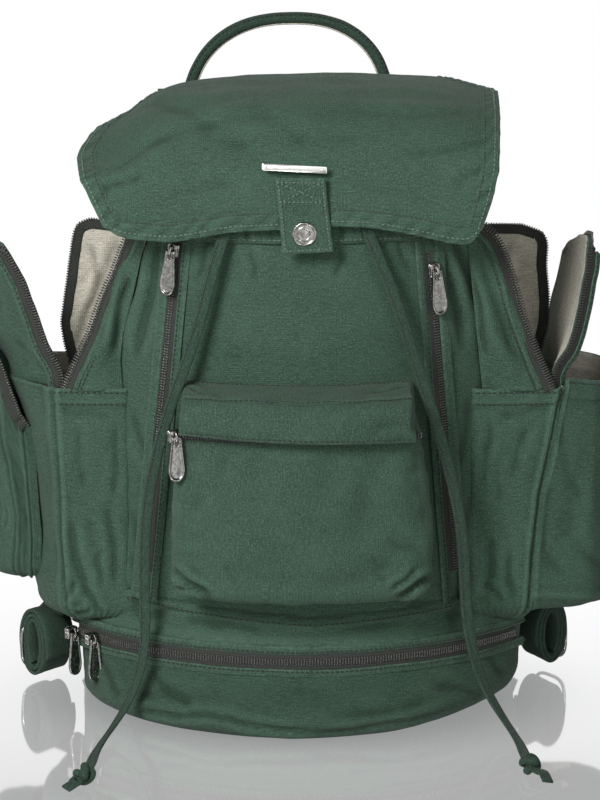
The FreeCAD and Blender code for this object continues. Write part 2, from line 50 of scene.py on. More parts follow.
YARN = 0.0007            # from one yarn to the next, in metres
ARC_Y = 112.0            # the vertical axis that the pack's front turns about
BASE_R = 212.0           # the base compartment's front, from that axis
FLOOR_Z = 62.0           # where the main compartment stands on the base compartment
BODY_HIGH = 310.0        # the main compartment's height
BACK_Y = 81.5            # where the side walls meet the back panel


# ---------------------------------------------------------------- numbers that repeat

def hashed(i, j, seed):
    return np.modf(np.abs(np.sin(i * 127.1 + j * 311.7 + seed * 74.7) * 43758.5453))[0] * 2 - 1


def noise(x, y, seed):
    """Smooth noise from -1 to 1 with features one unit across."""
    xi, yi = np.floor(x), np.floor(y)
    xf, yf = x - xi, y - yi
    sx, sy = xf * xf * (3 - 2 * xf), yf * yf * (3 - 2 * yf)
    low = hashed(xi, yi, seed) * (1 - sx) + hashed(xi + 1, yi, seed) * sx
    high = hashed(xi, yi + 1, seed) * (1 - sx) + hashed(xi + 1, yi + 1, seed) * sx
    return low * (1 - sy) + high * sy


def cloudy(x, y, seed):
    """Noise in three sizes, each half as large and half as high as the one before."""
    total = 0 * x
    for k in range(3):
        total = total + noise(x * 2 ** k, y * 2 ** k, seed + 13 * k) / 2 ** k
    return 0.72 * total


def clouds(x, y, *layers):
    """Layers of cloudy noise, each given as (size across, size up, seed, height)."""
    return sum(cloudy(x / wide, y / high, seed) * height for wide, high, seed, height in layers)


def smooth(a, b, x):
    t = np.clip((x - a) / (b - a), 0, 1)
    return t * t * (3 - 2 * t)


def bump(x, centre, width):
    return np.exp(-((x - centre) / width) ** 2)


def crease(x, y, start, end, width, depth):
    """A valley along a line with a soft ridge on each side, fading out at both ends."""
    dx, dy = end[0] - start[0], end[1] - start[1]
    length = math.hypot(dx, dy)
    along = ((x - start[0]) * dx + (y - start[1]) * dy) / length ** 2
    off = ((x - start[0]) * dy - (y - start[1]) * dx) / length
    off = off + 0.25 * width * np.sin(along * 7 + start[0])
    fade = smooth(-0.15, 0.25, along) * smooth(1.15, 0.75, along)
    valley = -bump(off, 0, width) + 0.55 * bump(off, 1.9 * width, 1.3 * width)
    valley = valley + 0.45 * bump(off, -1.9 * width, 1.3 * width)
    return depth * fade * valley


def creases(x, y, lines):
    total = 0
    for start, end, width, depth in lines:
        total = total + crease(x, y, start, end, width, depth)
    return 0.72 * total


# ---------------------------------------------------------------- meshes

def mesh_object(name, points, faces, uvs=None, paint=None):
    """An object from points in mm. uvs are in metres, one per point; paint holds named values per point."""
    mesh = bpy.data.meshes.new(name)
    points = np.asarray(points, float).reshape(-1, 3)
    mesh.from_pydata((points * MM).tolist(), [], faces if isinstance(faces, list) else faces.tolist())
    if uvs is not None:
        layer = mesh.uv_layers.new(name="cloth")
        corner = np.zeros(len(mesh.loops), dtype=np.int32)
        mesh.loops.foreach_get("vertex_index", corner)
        layer.data.foreach_set("uv", np.asarray(uvs, float)[corner].ravel())
    for key, values in (paint or {}).items():
        data = mesh.attributes.new(key, "FLOAT", "POINT")
        data.data.foreach_set("value", np.asarray(values, np.float32).ravel())
    mesh.polygons.foreach_set("use_smooth", [True] * len(mesh.polygons))
    mesh.update()
    obj = bpy.data.objects.new(name, mesh)
    bpy.context.scene.collection.objects.link(obj)
    return obj


def grid_faces(rows, columns, closed=False):
    r = np.arange(rows - 1)[:, None]
    c = np.arange(columns if closed else columns - 1)[None, :]
    n = (c + 1) % columns
    corners = [r * columns + c, r * columns + n, (r + 1) * columns + n, (r + 1) * columns + c]
    return np.stack(corners, -1).reshape(-1, 4)


def normals_of(p):
    """Unit normals of a grid of points; the grid's shape is (rows, columns, 3)."""
    du = np.gradient(p, axis=1)
    dv = np.gradient(p, axis=0)
    n = np.cross(du, dv)
    return n / np.maximum(np.linalg.norm(n, axis=2, keepdims=True), 1e-9)


FACES = {}


def on_sheet(name, rows, columns):
    """Points and outward normals on a sheet, at fractional places of its grid."""
    face, normals = FACES[name]
    rows, columns = np.broadcast_arrays(np.asarray(rows, float), np.asarray(columns, float))
    rows = np.clip(rows, 0, face.shape[0] - 1.001)
    columns = np.clip(columns, 0, face.shape[1] - 1.001)
    r, c = rows.astype(int), columns.astype(int)
    fr, fc = (rows - r)[:, None], (columns - c)[:, None]
    found = []
    for grid in (face, normals):
        low = grid[r, c] * (1 - fc) + grid[r, c + 1] * fc
        high = grid[r + 1, c] * (1 - fc) + grid[r + 1, c + 1] * fc
        found.append(low * (1 - fr) + high * fr)
    return found


def soften(p, passes, axis=1):
    """Round off the corners of a grid's rows, keeping their ends."""
    p = np.moveaxis(p.copy(), axis, 0)
    for _ in range(passes):
        p[1:-1] = (p[:-2] + 2 * p[1:-1] + p[2:]) / 4
    return np.moveaxis(p, 0, axis)


def cloth_lengths(p):
    """How far each point of a grid is along its row and down its column, in mm."""
    across = np.linalg.norm(np.diff(p, axis=1), axis=2)
    down = np.linalg.norm(np.diff(p, axis=0), axis=2)
    u = np.hstack([np.zeros((p.shape[0], 1)), np.cumsum(across, axis=1)])
    v = np.vstack([np.zeros((1, p.shape[1])), np.cumsum(down, axis=0)])
    return u - u[:, -1:] / 2, v


def ridges_of(relief):
    """How far the relief stands above its surroundings, from -1 to 1."""
    soft = relief.copy()
    for axis in (0, 1):
        for _ in range(6):
            soft = (np.roll(soft, 1, axis) + 2 * soft + np.roll(soft, -1, axis)) / 4
    ridge = np.clip((relief - soft) * 2.2, -1, 1)
    ridge[[0, -1], :] = 0
    ridge[:, [0, -1]] = 0
    return ridge


def sheet_grid(name, p, u, v, relief, body="pack", replaces=(), out=(0, -1, 0), wear=0, thick=2.4,
               inside=None, cloth="canvas", ride=True):
    """A finished sheet of cloth from a grid of points.

    u and v are the cloth's own coordinates in mm, relief the folds' height, wear how far it is rubbed pale.
    out points to the cloth's face side. The sheet gets its thickness behind that face, and its other side
    may be of another cloth.
    """
    n = normals_of(p)
    middle = n[n.shape[0] // 2, n.shape[1] // 2]
    flip = 1.0 if float(np.dot(middle, np.asarray(out, float))) > 0 else -1.0
    relief = relief + np.zeros(u.shape)
    face = p + n * flip * relief[..., None]
    FACES[name] = (face, n * flip)
    faces = grid_faces(*u.shape)
    if flip < 0:
        faces = faces[:, ::-1]
    # the ridge values paint shade into the canvas's hollows and rub its ridges pale
    obj = mesh_object(name, face, faces, np.stack([u, v], -1).reshape(-1, 2) * MM,
                      {"ridge": ridges_of(relief), "wear": wear + np.zeros(u.shape)})
    obj.data.materials.append(MATERIALS[cloth])
    if inside:
        obj.data.materials.append(MATERIALS[inside])
    solid = obj.modifiers.new("thickness", "SOLIDIFY")
    solid.thickness = thick * MM
    solid.offset = -1
    solid.material_offset = 1 if inside else 0
    apply_modifiers(obj)
    return finish_piece(obj, cloth, body, replaces, ride)


def apply_modifiers(obj):
    deps = bpy.context.evaluated_depsgraph_get()
    deps.update()
    fresh = bpy.data.meshes.new_from_object(obj.evaluated_get(deps), preserve_all_data_layers=True,
                                            depsgraph=deps)
    fresh.polygons.foreach_set("use_smooth", [True] * len(fresh.polygons))
    obj.modifiers.clear()
    obj.data = fresh


def join(name, objects):
    """One object from several; materials and attributes go with it."""
    for o in bpy.context.selected_objects:
        o.select_set(False)
    for o in objects:
        o.select_set(True)
    bpy.context.view_layer.objects.active = objects[0]
    bpy.ops.object.join()
    objects[0].name = name
    return objects[0]


def with_out(path, out):
    """A path and its outward directions as arrays of one length."""
    return np.asarray(path, float), np.asarray(out, float) + np.zeros((len(path), 3))


def frames_along(path, out):
    """Unit tangents, unit vectors nearest to out at right angles to them, and unit vectors to the side."""
    path, out = with_out(path, out)
    t = np.gradient(path, axis=0)
    t /= np.linalg.norm(t, axis=1, keepdims=True)
    o = out - t * np.sum(out * t, axis=1, keepdims=True)
    o /= np.linalg.norm(o, axis=1, keepdims=True)
    return t, o, np.cross(t, o)


def run_of(points):
    """How far each point is along a line."""
    return np.concatenate([[0], np.cumsum(np.linalg.norm(np.diff(points, axis=0), axis=1))])


def sweep(name, path, section, out, caps=True, scale=None, paint=None):
    """A closed section of (side, out) points carried along a path in mm."""
    path, section = np.asarray(path, float), np.asarray(section, float)
    _, o, s = frames_along(path, out)
    scale = np.ones(len(path)) if scale is None else np.asarray(scale, float)
    p = (path[:, None] + s[:, None] * section[None, :, :1] * scale[:, None, None]
         + o[:, None] * section[None, :, 1:] * scale[:, None, None])
    rows, columns = len(path), len(section)
    faces = grid_faces(rows, columns, True).tolist()
    if caps:
        faces.append(list(range(columns))[::-1])
        faces.append([(rows - 1) * columns + k for k in range(columns)])
    uv = np.stack(np.broadcast_arrays(run_of(section)[None, :], run_of(path)[:, None]), -1)
    values = {"ridge": np.zeros(rows * columns), "wear": np.zeros(rows * columns)}
    values.update(paint or {})
    return mesh_object(name, p, faces, uv.reshape(-1, 2) * MM, values)


def swept_piece(name, path, section, out, material, body="pack", replaces=(), ride=True, **more):
    """A finished piece made by carrying a section along a path."""
    return finish_piece(sweep(name, path, section, out, **more), material, body, replaces, ride)


def oval(wide, high, count):
    """An oval section."""
    return [(wide / 2 * math.cos(a), high / 2 * math.sin(a))
            for a in np.linspace(0, 2 * math.pi, count, endpoint=False)]


def open_oval(across, up, last, count):
    """An oval section from its two radii, with its points from angle 0 to the last one."""
    return [(across * math.cos(a), up * math.sin(a)) for a in np.linspace(0, last, count)]


def spline(points, count):
    """A smooth curve through points, evenly spaced."""
    points = np.asarray(points, float)
    padded = np.vstack([2 * points[0] - points[1], points, 2 * points[-1] - points[-2]])
    out = []
    for i in range(1, len(padded) - 2):
        a, b, c, d = padded[i - 1:i + 3]
        for t in np.linspace(0, 1, 24, endpoint=False):
            out.append(0.5 * (2 * b + (c - a) * t + (2 * a - 5 * b + 4 * c - d) * t * t
                              + (3 * b - a - 3 * c + d) * t ** 3))
    out.append(points[-1])
    return resample(np.array(out), count)


def resample(path, count):
    """The same line with evenly spaced points."""
    path = np.asarray(path, float)
    length = run_of(path)
    want = np.linspace(0, length[-1], count)
    return np.stack([np.interp(want, length, path[:, k]) for k in range(path.shape[1])], -1)


def length_of(path):
    return float(np.linalg.norm(np.diff(np.asarray(path, float), axis=0), axis=1).sum())


def capsule_row(name, path, out, long, wide, high, pitch, lift, jitter=0.0, across=False):
    """Small rounded pieces along a path: stitches lie along it, zip teeth lie across it."""
    count = max(2, int(length_of(path) / pitch))
    both = resample(np.hstack(with_out(path, out)), count)
    places = both[:, :3]
    t, o, s = frames_along(places, both[:, 3:])
    if across:
        t, s = s, t
    k = np.arange(count)
    turn = hashed(k, k * 0.7, 3) * jitter
    t = t + s * turn[:, None]
    rings = [(-1.0, 0.35), (-0.72, 0.9), (0.72, 0.9), (1.0, 0.35)]
    sides = 6
    local = []
    for x, r in rings:
        for a in range(sides):
            angle = 2 * math.pi * a / sides
            local.append((x * long / 2, math.cos(angle) * r * wide / 2, math.sin(angle) * r * high / 2))
    local = np.array(local)
    p = (places[:, None] + o[:, None] * (lift + local[None, :, 2:]) + t[:, None] * local[None, :, :1]
         + s[:, None] * local[None, :, 1:2])
    one = grid_faces(len(rings), sides, True).tolist()
    one += [list(range(sides))[::-1], [(len(rings) - 1) * sides + a for a in range(sides)]]
    faces = [[f + i * len(local) for f in face] for i in range(count) for face in one]
    return mesh_object(name, p, faces)


# ---------------------------------------------------------------- materials

class Nodes:
    """Short names for building the nodes of a material or a world."""

    def __init__(self, owner):
        owner.use_nodes = True
        self.owner = owner
        self.tree = owner.node_tree
        self.shader = self.first("BSDF_PRINCIPLED")

    def first(self, kind):
        return next((n for n in self.tree.nodes if n.type == kind), None)

    def link(self, source, target):
        self.tree.links.new(source, target)

    def put(self, socket, value):
        if isinstance(value, bpy.types.NodeSocket):
            self.link(value, socket)
        else:
            socket.default_value = value

    def add(self, kind, inputs=None, **settings):
        """A node with its settings, and with its inputs set or linked."""
        node = self.tree.nodes.new(kind)
        for key, value in settings.items():
            setattr(node, key, value)
        for key, value in (inputs or {}).items():
            self.put(node.inputs[key], value)
        return node

    def place(self, kind):
        return self.add("ShaderNodeTexCoord").outputs[kind]

    def math(self, operation, a, b, clamp=False):
        return self.add("ShaderNodeMath", {0: a, 1: b}, operation=operation, use_clamp=clamp).outputs[0]

    def mix(self, share, a, b):
        a, b = (c if isinstance(c, bpy.types.NodeSocket) else (*c, 1) for c in (a, b))
        return self.add("ShaderNodeMix", {0: share, 6: a, 7: b}, data_type="RGBA").outputs[2]

    def scaled(self, source, scale):
        return self.add("ShaderNodeMapping", {0: source, 3: scale}).outputs[0]

    def noise(self, source, scale, detail, rough=0.5):
        inputs = {"Vector": self.scaled(source, scale), "Scale": 1.0, "Detail": detail, "Roughness": rough}
        return self.add("ShaderNodeTexNoise", inputs).outputs[0]

    def bands(self, source, period, direction, **inputs):
        """Stripes across the cloth, one for each period in metres."""
        inputs.update({"Vector": source, "Scale": 2 * math.pi / 20 / period})
        wave = self.add("ShaderNodeTexWave", inputs, wave_type="BANDS", bands_direction=direction)
        return wave.outputs["Fac"]

    def steps(self, value, low, high):
        inputs = {0: value, 1: low, 2: high}
        return self.add("ShaderNodeMapRange", inputs, interpolation_type="SMOOTHSTEP").outputs[0]

    def tint(self, base, value, low, high, amount, colour):
        """The base colour, taken a part of the way to another colour where a value is high."""
        return self.mix(self.math("MULTIPLY", self.steps(value, low, high), amount), base, colour)

    def painted(self, key):
        return self.add("ShaderNodeAttribute", attribute_name=key).outputs["Fac"]

    def raise_surface(self, height, distance, strength):
        raised = self.add("ShaderNodeBump", {"Strength": strength, "Distance": distance, "Height": height})
        self.link(raised.outputs[0], self.shader.inputs["Normal"])

    def surface(self, **values):
        for key, value in values.items():
            self.put(self.shader.inputs[key.replace("_", " ")], value)


def new_material(name):
    return Nodes(bpy.data.materials.new(name))


def toned(colour, scale, lift=0.0):
    return tuple(c * scale + lift for c in colour)


def canvas_material(name, colour, slub_turned=False, fleck=1.0):
    """Washed plain-weave cotton: thick and thin yarns, pale flecks, rubbed ridges, and painted shade that
    darkens the hollows.

    It reads the cloth's own coordinates in metres, with yarns 0.7 mm apart.
    """
    m = new_material(name)
    cloth = m.place("UV")
    along, over = (860, 150) if slub_turned else (150, 860)
    slub = m.noise(cloth, (along, over, 1), 3.0, 0.65)
    thin = m.noise(cloth, (over * 0.9, along * 1.6, 1), 2.0)
    grain = m.noise(cloth, (820, 820, 1), 2.0, 0.7)
    patches = m.noise(cloth, (22, 22, 1), 3.0, 0.6)
    ridge, wear = m.painted("ridge"), m.painted("wear")
    base = m.mix(m.steps(slub, 0.30, 0.72), toned(colour, 0.72), toned(colour, 1.26, 0.004))
    base = m.tint(base, thin, 0.25, 0.8, 0.35, colour)
    base = m.tint(base, grain, 0.53, 0.70, 0.62 * fleck, toned(colour, 2.2, 0.028))
    base = m.tint(base, grain, 0.47, 0.30, 0.72, toned(colour, 0.28))
    base = m.tint(base, patches, 0.35, 0.75, 0.22, toned(colour, 1.7))
    base = m.tint(base, ridge, 0.05, 0.9, 0.20, toned(colour, 1.8, 0.012))
    # painted shade: the colour darkens where the relief sinks below its surroundings
    base = m.tint(base, ridge, -0.05, -0.9, 0.42, toned(colour, 0.30))
    rubbed = m.math("MULTIPLY", wear, m.steps(m.noise(cloth, (260, 260, 1), 2.0), 0.30, 0.72), True)
    base = m.mix(m.math("MULTIPLY", rubbed, 0.42), base, toned(colour, 2.5, 0.03))
    m.surface(Base_Color=base, Roughness=0.93, Sheen_Weight=0.07, Sheen_Roughness=0.45,
              Specular_IOR_Level=0.2)
    warp, weft = (m.bands(cloth, 2 * YARN, way, Distortion=1.2, Detail=1.0) for way in "XY")
    weave = m.math("MULTIPLY", warp, weft)
    height = m.math("ADD", m.math("MULTIPLY", weave, 0.5), m.math("MULTIPLY", slub, 0.9))
    height = m.math("ADD", height, m.math("MULTIPLY", grain, 0.4))
    m.raise_surface(height, 0.0006, 0.85)
    return m.owner


def metal_material(name, colour, rough, dents, tarnish=0.52):
    """Cast metal with tarnish in patches and fine scratches."""
    m = new_material(name)
    place = m.place("Object")
    patches = m.noise(place, (420, 420, 420), 3.0, 0.6)
    scratch = m.noise(place, (3500, 500, 500), 2.0)
    colour_now = m.mix(m.steps(patches, 0.35, 0.68), toned(colour, tarnish), colour)
    roughness = m.math("ADD", m.math("MULTIPLY", patches, 0.28), rough - 0.14)
    m.surface(Base_Color=colour_now, Metallic=1.0, Roughness=roughness)
    height = m.math("ADD", m.math("MULTIPLY", patches, dents), m.math("MULTIPLY", scratch, 0.25))
    m.raise_surface(height, 0.0004, 0.5)
    return m.owner


def tape_material(name, colour):
    """Zip tape: slanting ribs in dark yarn."""
    m = new_material(name)
    cloth = m.place("UV")
    rib = m.bands(cloth, 0.0012, "DIAGONAL")
    grain = m.noise(cloth, (1800, 1800, 1), 1.0)
    base = m.mix(m.steps(grain, 0.3, 0.75), toned(colour, 0.6), toned(colour, 1.6, 0.006))
    m.surface(Base_Color=base, Roughness=0.85, Specular_IOR_Level=0.3)
    m.raise_surface(m.math("ADD", rib, grain), 0.0003, 0.6)
    return m.owner


def plastic_material(name, colour, rough):
    m = new_material(name)
    grain = m.noise(m.place("Object"), (900, 900, 900), 2.0)
    base = m.mix(m.steps(grain, 0.3, 0.7), toned(colour, 0.8), toned(colour, 1.25))
    m.surface(Base_Color=base, Roughness=m.math("ADD", m.math("MULTIPLY", grain, 0.15), rough - 0.07))
    m.raise_surface(grain, 0.0001, 0.4)
    return m.owner


def thread_material(name, colour):
    m = new_material(name)
    grain = m.noise(m.place("Object"), (1100, 1100, 1100), 1.0)
    base = m.mix(m.steps(grain, 0.35, 0.65), toned(colour, 0.6), toned(colour, 1.6))
    m.surface(Base_Color=base, Roughness=0.8, Sheen_Weight=0.2)
    m.raise_surface(grain, 0.0002, 0.5)
    return m.owner


GREEN = (0.0448, 0.0870, 0.0590)
DEEP_GREEN = (0.031, 0.059, 0.041)
LINING = (0.54, 0.51, 0.43)
MATERIALS = {
    "canvas": canvas_material("canvas", GREEN),
    "canvas_turned": canvas_material("canvas_turned", toned(GREEN, 0.93), True),
    # a darker copy of the canvas: painted shade for the low base, the welt under the front pocket and the
    # outer pocket's inside
    "canvas_painted_shade": canvas_material("canvas_painted_shade", toned(GREEN, 0.80), False, 0.8),
    "strap_cloth": canvas_material("strap_cloth", DEEP_GREEN, True, 0.8),
    "pad_cloth": canvas_material("pad_cloth", DEEP_GREEN, False, 0.5),
    "lining": canvas_material("lining", LINING, False, 0.3),
    "tape": tape_material("tape", (0.033, 0.036, 0.031)),
    "coil": plastic_material("coil", (0.050, 0.049, 0.044), 0.18),
    "thread": thread_material("thread", (0.075, 0.125, 0.09)),
    "thread_mid": thread_material("thread_mid", (0.022, 0.042, 0.030)),
    "thread_dark": thread_material("thread_dark", (0.008, 0.017, 0.012)),
    "old_metal": metal_material("old_metal", (0.33, 0.325, 0.31), 0.25, 0.5),
    "bright_metal": metal_material("bright_metal", (0.72, 0.71, 0.68), 0.34, 0.06, 0.9),
}
SLOT_OF = {"canvas_turned": "canvas", "canvas_painted_shade": "canvas", "tape": "zip_tape", "coil": "zip_tape",
           "thread": "canvas", "thread_mid": "canvas", "thread_dark": "canvas"}


def finish_piece(obj, material, body, replaces=(), ride=True):
    """Give a piece its material, hide the parts it replaces, and fix it to its body when it rides."""
    if len(obj.data.materials) == 0:
        obj.data.materials.append(MATERIALS[material])
    SLOT_OF.get(material, material)
    if replaces:
        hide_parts(*replaces)
    if ride:
        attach(obj, body)
    return obj


def stitches(name, path, out, body, material="thread", lift=0.15, pitch=3.4, long=2.5, ride=True):
    """A row of stitches along a path on the cloth."""
    row = capsule_row(name, path, out, long, wide=1.25, high=0.95, pitch=pitch, lift=lift + 0.1, jitter=0.06)
    return finish_piece(row, material, body, ride=ride)


# ---------------------------------------------------------------- drawstrings and their knots

def on_arc(radius, degrees, z):
    """A point on the pack's round front, at a height."""
    angle = math.radians(degrees)
    return (radius * math.sin(angle), ARC_Y - radius * math.cos(angle), z)


LEFT_STRING = [
    on_arc(201, -13.3, 364), on_arc(211.3, -13.3, 363), (-50.5, -94.3, 352.5), (-55.5, -95.5, 338.5),
    (-61.5, -96.3, 317), (-67.5, -96.6, 293), (-76.5, -96.2, 266), (-87.5, -95, 236), (-97, -93.5, 203),
    (-104, -92, 170), (-107, -91, 137), (-107.8, -90, 104), (-107.2, -89.5, 72), (-110, -90.5, 45),
    (-119, -97, 22), (-129.5, -111, 8.5), (-136.5, -131, 4.2), (-140, -153, 4), (-140.8, -174, 5),
    (-142.5, -191, 7.2),
]
RIGHT_STRING = [
    on_arc(201, 12.1, 364), on_arc(211.3, 12.1, 363), (46.2, -94.8, 352.5), (52, -95.8, 338.5),
    (60, -96.5, 320), (68, -96.8, 298), (75.5, -96.4, 273), (84.5, -95.4, 247), (93, -94.4, 221),
    (101, -93.4, 193), (108, -92.4, 165), (112.8, -91.8, 135), (114.2, -91.4, 105), (116.6, -91, 75),
    (122, -91.2, 50), (130.5, -94, 28), (140.8, -102, 12.5), (148, -117, 5.5), (151.5, -136, 4.2),
    (152.5, -155, 5.0), (153.5, -172, 7.2),
]


def drawn_path(name, points):
    """The points, in metres, that a smooth curve through given control points follows."""
    curve = bpy.data.curves.new(name, "CURVE")
    curve.dimensions = "3D"
    line = curve.splines.new("NURBS")
    line.points.add(len(points) - 1)
    for place, point in zip(line.points, points):
        place.co = (point[0] * MM, point[1] * MM, point[2] * MM, 1)
    line.order_u = 3
    line.use_endpoint_u = True
    curve.resolution_u = 10
    obj = bpy.data.objects.new(name, curve)
    mesh = bpy.data.meshes.new_from_object(obj)
    path = [tuple(v.co) for v in mesh.vertices]
    bpy.data.objects.remove(obj)
    bpy.data.meshes.remove(mesh)
    return path


def flat_section(width, thick, edge=0.9):
    """A flat strap's section as (side, out) points, with rounded edges."""
    w, h = width / 2, thick / 2
    corner = edge * 0.35
    return [(-w, -h * 0.3), (-w + corner, -h), (-w * 0.4, -h), (w * 0.4, -h), (w - corner, -h), (w, -h * 0.3),
            (w, h * 0.3), (w - corner, h), (w * 0.62, h), (w * 0.3, h * 0.82), (0, h * 0.9),
            (-w * 0.4, h * 0.85), (-w + corner, h), (-w, h * 0.3)]


def knot(name, centre, tip, radius, seed):
    """An overhand knot in a flat strap: three fat turns, with the strap's end coming out."""
    centre, tip = np.asarray(centre, float), np.asarray(tip, float)
    axis = tip - centre
    axis /= np.linalg.norm(axis)
    side = np.cross(axis, (0, 0, 1))
    side /= np.linalg.norm(side)
    up = np.cross(side, axis)
    turns = []
    for k in range(60):
        a = 2 * math.pi * k / 60
        r = radius * (0.50 + 0.26 * math.cos(3 * a + seed))
        x = radius * 0.62 * math.sin(3 * a + seed)
        turns.append(centre + side * r * math.cos(2 * a) + up * r * math.sin(2 * a) + axis * x)
    turns.append(turns[0])
    section = [(math.cos(a) * radius * 0.40, math.sin(a) * radius * 0.30)
               for a in np.linspace(0, 2 * math.pi, 10, endpoint=False)]
    body = sweep(name, turns, section, np.array(turns) - centre + 0.01, caps=False)
    bend = (centre + tip) / 2 + (2.5, 0, 0.8)
    tail = spline([centre + axis * radius * 0.3, centre + axis * radius * 1.5, bend, tip], 16)
    end = sweep(name + "_end", tail, flat_section(8.0, 1.7), (0.25, 0, 1))
    return join(name, [body, end])


def drawstring(side, points, turned, centre, tip, seed):
    """A flat string with its stitches and its end knot; turned says which way it faces along its run."""
    name = "drawstring_" + side
    path = drawn_path(name + "_line", points)
    run = np.array(path) / MM
    way = np.linspace(0, 1, len(run))
    out = np.stack([np.interp(way, [k[0] for k in turned], [k[1][i] for k in turned]) for i in range(3)], -1)
    ribbon = swept_piece(name, run, flat_section(8.0, 1.8), out, "strap_cloth", "pack", [name])
    _, o, s = frames_along(run, out)
    keep = slice(8, len(run) - 6)
    middle = run + s * 2.4 + o * 0.75
    row = stitches(name + "_stitches", middle[keep], o[keep], "pack", "thread_dark", 0.1, 3.0, 2.1)
    end_knot = knot(name + "_knot", centre, tip, 7.0, seed)
    finish_piece(end_knot, "strap_cloth", "pack", [name + "_knot"])
    length = length_of(path)
    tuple(path[0])


def build_drawstrings():
    left_turns = [(0, (-0.1, -1, 0)), (0.12, (-0.1, -1, 0.1)), (0.45, (-0.25, -1, 0)), (0.62, (-0.35, -1, 0)),
                  (0.72, (-0.9, -0.6, 0.2)), (0.82, (-0.8, -0.4, 0.6)), (0.92, (-0.5, 0.1, 1)),
                  (1, (-0.1, 0, 1))]
    right_turns = [(0, (0.1, -1, 0)), (0.12, (0.1, -1, 0.1)), (0.45, (0.2, -1, 0)), (0.66, (0.25, -1, 0.1)),
                   (0.76, (0.8, -0.7, 0.2)), (0.85, (0.7, -0.3, 0.8)), (1, (0.1, 0.1, 1))]
    drawstring("left", LEFT_STRING, left_turns, (-143.5, -198, 7.2), (-155, -213, 2.4), 0.4)
    drawstring("right", RIGHT_STRING, right_turns, (154.5, -180, 7.2), (165, -200, 2.4), 1.9)


# ---------------------------------------------------------------- the two compartments

def front_radius(z):
    return 207.0 - 4.0 * (z - FLOOR_Z) / BODY_HIGH


def half_width(z):
    return 150.0 - 35.0 * (z - FLOOR_Z) / BODY_HIGH


def panel_y(x, z, lift=0.0):
    """Depth of the main front panel at a place across and a height."""
    r = front_radius(z) + lift
    return ARC_Y - np.sqrt(r * r - x * x)


def wrap_row(half, radius, y_back, z, side_count, front_count):
    """One level outline round the front: up one side, across the arc and back down the other side."""
    corner = ARC_Y - math.sqrt(radius * radius - half * half)
    x = np.linspace(-half, half, front_count)
    y_side = np.linspace(y_back, corner, side_count)[:-1]
    left = np.stack([np.full(side_count - 1, -half), y_side, np.full(side_count - 1, z)], -1)
    front = np.stack([x, ARC_Y - np.sqrt(radius * radius - x * x), np.full(front_count, z)], -1)
    right = left[::-1] * (-1, 1, 1)
    return np.vstack([left, front, right])


BODY_CREASES = [
    ((-104, 352), (-121, 292), 4.2, 6.8), ((-96, 344), (-112, 262), 4.0, 4.6),
    ((-60, 350), (-70, 318), 3.0, 1.3),
    ((104, 350), (122, 296), 4.0, 6.0), ((97, 342), (112, 268), 4.0, 4.4), ((64, 350), (74, 322), 3.0, 1.2),
    ((-118, 222), (-100, 178), 4.5, 1.4), ((-119, 150), (-108, 96), 5.0, 1.6),
    ((-120, 120), (-112, 68), 4.0, 1.5),
    ((118, 232), (112, 178), 4.2, 1.5), ((121, 165), (114, 96), 5.0, 1.7), ((119, 110), (106, 66), 4.2, 1.3),
    ((-92, 84), (-30, 74), 5.0, 1.2), ((20, 72), (88, 82), 5.0, 1.1), ((-70, 96), (-108, 72), 4.0, 1.2),
    ((70, 94), (110, 74), 4.2, 1.2), ((-34, 345), (-30, 318), 3.0, 0.9), ((30, 343), (24, 322), 3.0, 0.8),
    ((-70, 268), (40, 262), 7.0, 0.5), ((-50, 300), (66, 306), 7.0, 0.45), ((50, 284), (80, 250), 5.0, 0.6),
]


def build_shell():
    """The front and the sides of the main compartment as one wrap of lined canvas."""
    z = np.linspace(60.5, 372, 132)
    rows = []
    for h in z:
        half = half_width(h) + 6.5 * smooth(112, 68, h)
        radius = front_radius(h) + 5.6 * smooth(67.5, 62.5, h)
        rows.append(wrap_row(half, radius, BACK_Y, h, 46, 150))
    p = soften(np.array(rows), 22)
    u, v = cloth_lengths(p)
    x, height = p[..., 0], p[..., 2]
    front = smooth(-20, -50, p[..., 1])
    relief = clouds(u, height, (58, 70, 4, 1.1), (17, 26, 9, 0.32))
    relief = relief + front * creases(x, height, BODY_CREASES)
    relief = relief + front * 1.6 * bump(height, 66, 7) - 1.2 * bump(height, 60.5, 3)
    slack = smooth(232, 262, height) * smooth(362, 320, height) * (1 - front)
    relief = relief + slack * 2.2 * np.sin(u / 9 + height / 21 + 2 * noise(u / 30, height / 40, 5))
    gather = smooth(335, 362, height) * front
    relief = relief + gather * 1.1 * np.sin(u / 3.1 + 1.5 * noise(u / 16, height / 30, 8))
    relief = relief - 0.9 * smooth(0, 1, gather)
    joined = np.interp(x, [-150, -104, 9, 109, 150], [92, 88.5, 80.5, 85.6, 90])
    relief = relief + front * (1.5 * smooth(1.2, -0.6, height - joined) * smooth(-14, -3, height - joined)
                               - 1.3 * bump(height, joined + 1.4, 1.3))
    wear = 0.7 * bump(height, 372, 2.5) + 0.25 * bump(height, 64, 3)
    sheet_grid("shell", p, u, v, relief, "pack", ["front_panel", "side_panel_left", "side_panel_right"],
               wear=wear, inside="lining")
    across = np.linspace(-121, 121, 240)
    level = np.interp(across, [-104, 9, 109], [85.4, 77.4, 82.5])
    depth = panel_y(across, level, 2.3)
    out = np.stack([across, depth - ARC_Y, 0 * across], -1) / 207
    seam = np.stack([across, depth, level], -1)
    stitches("lower_seam_stitches", seam, out, "pack", "thread_dark", 0.3, 3.6, 2.6)


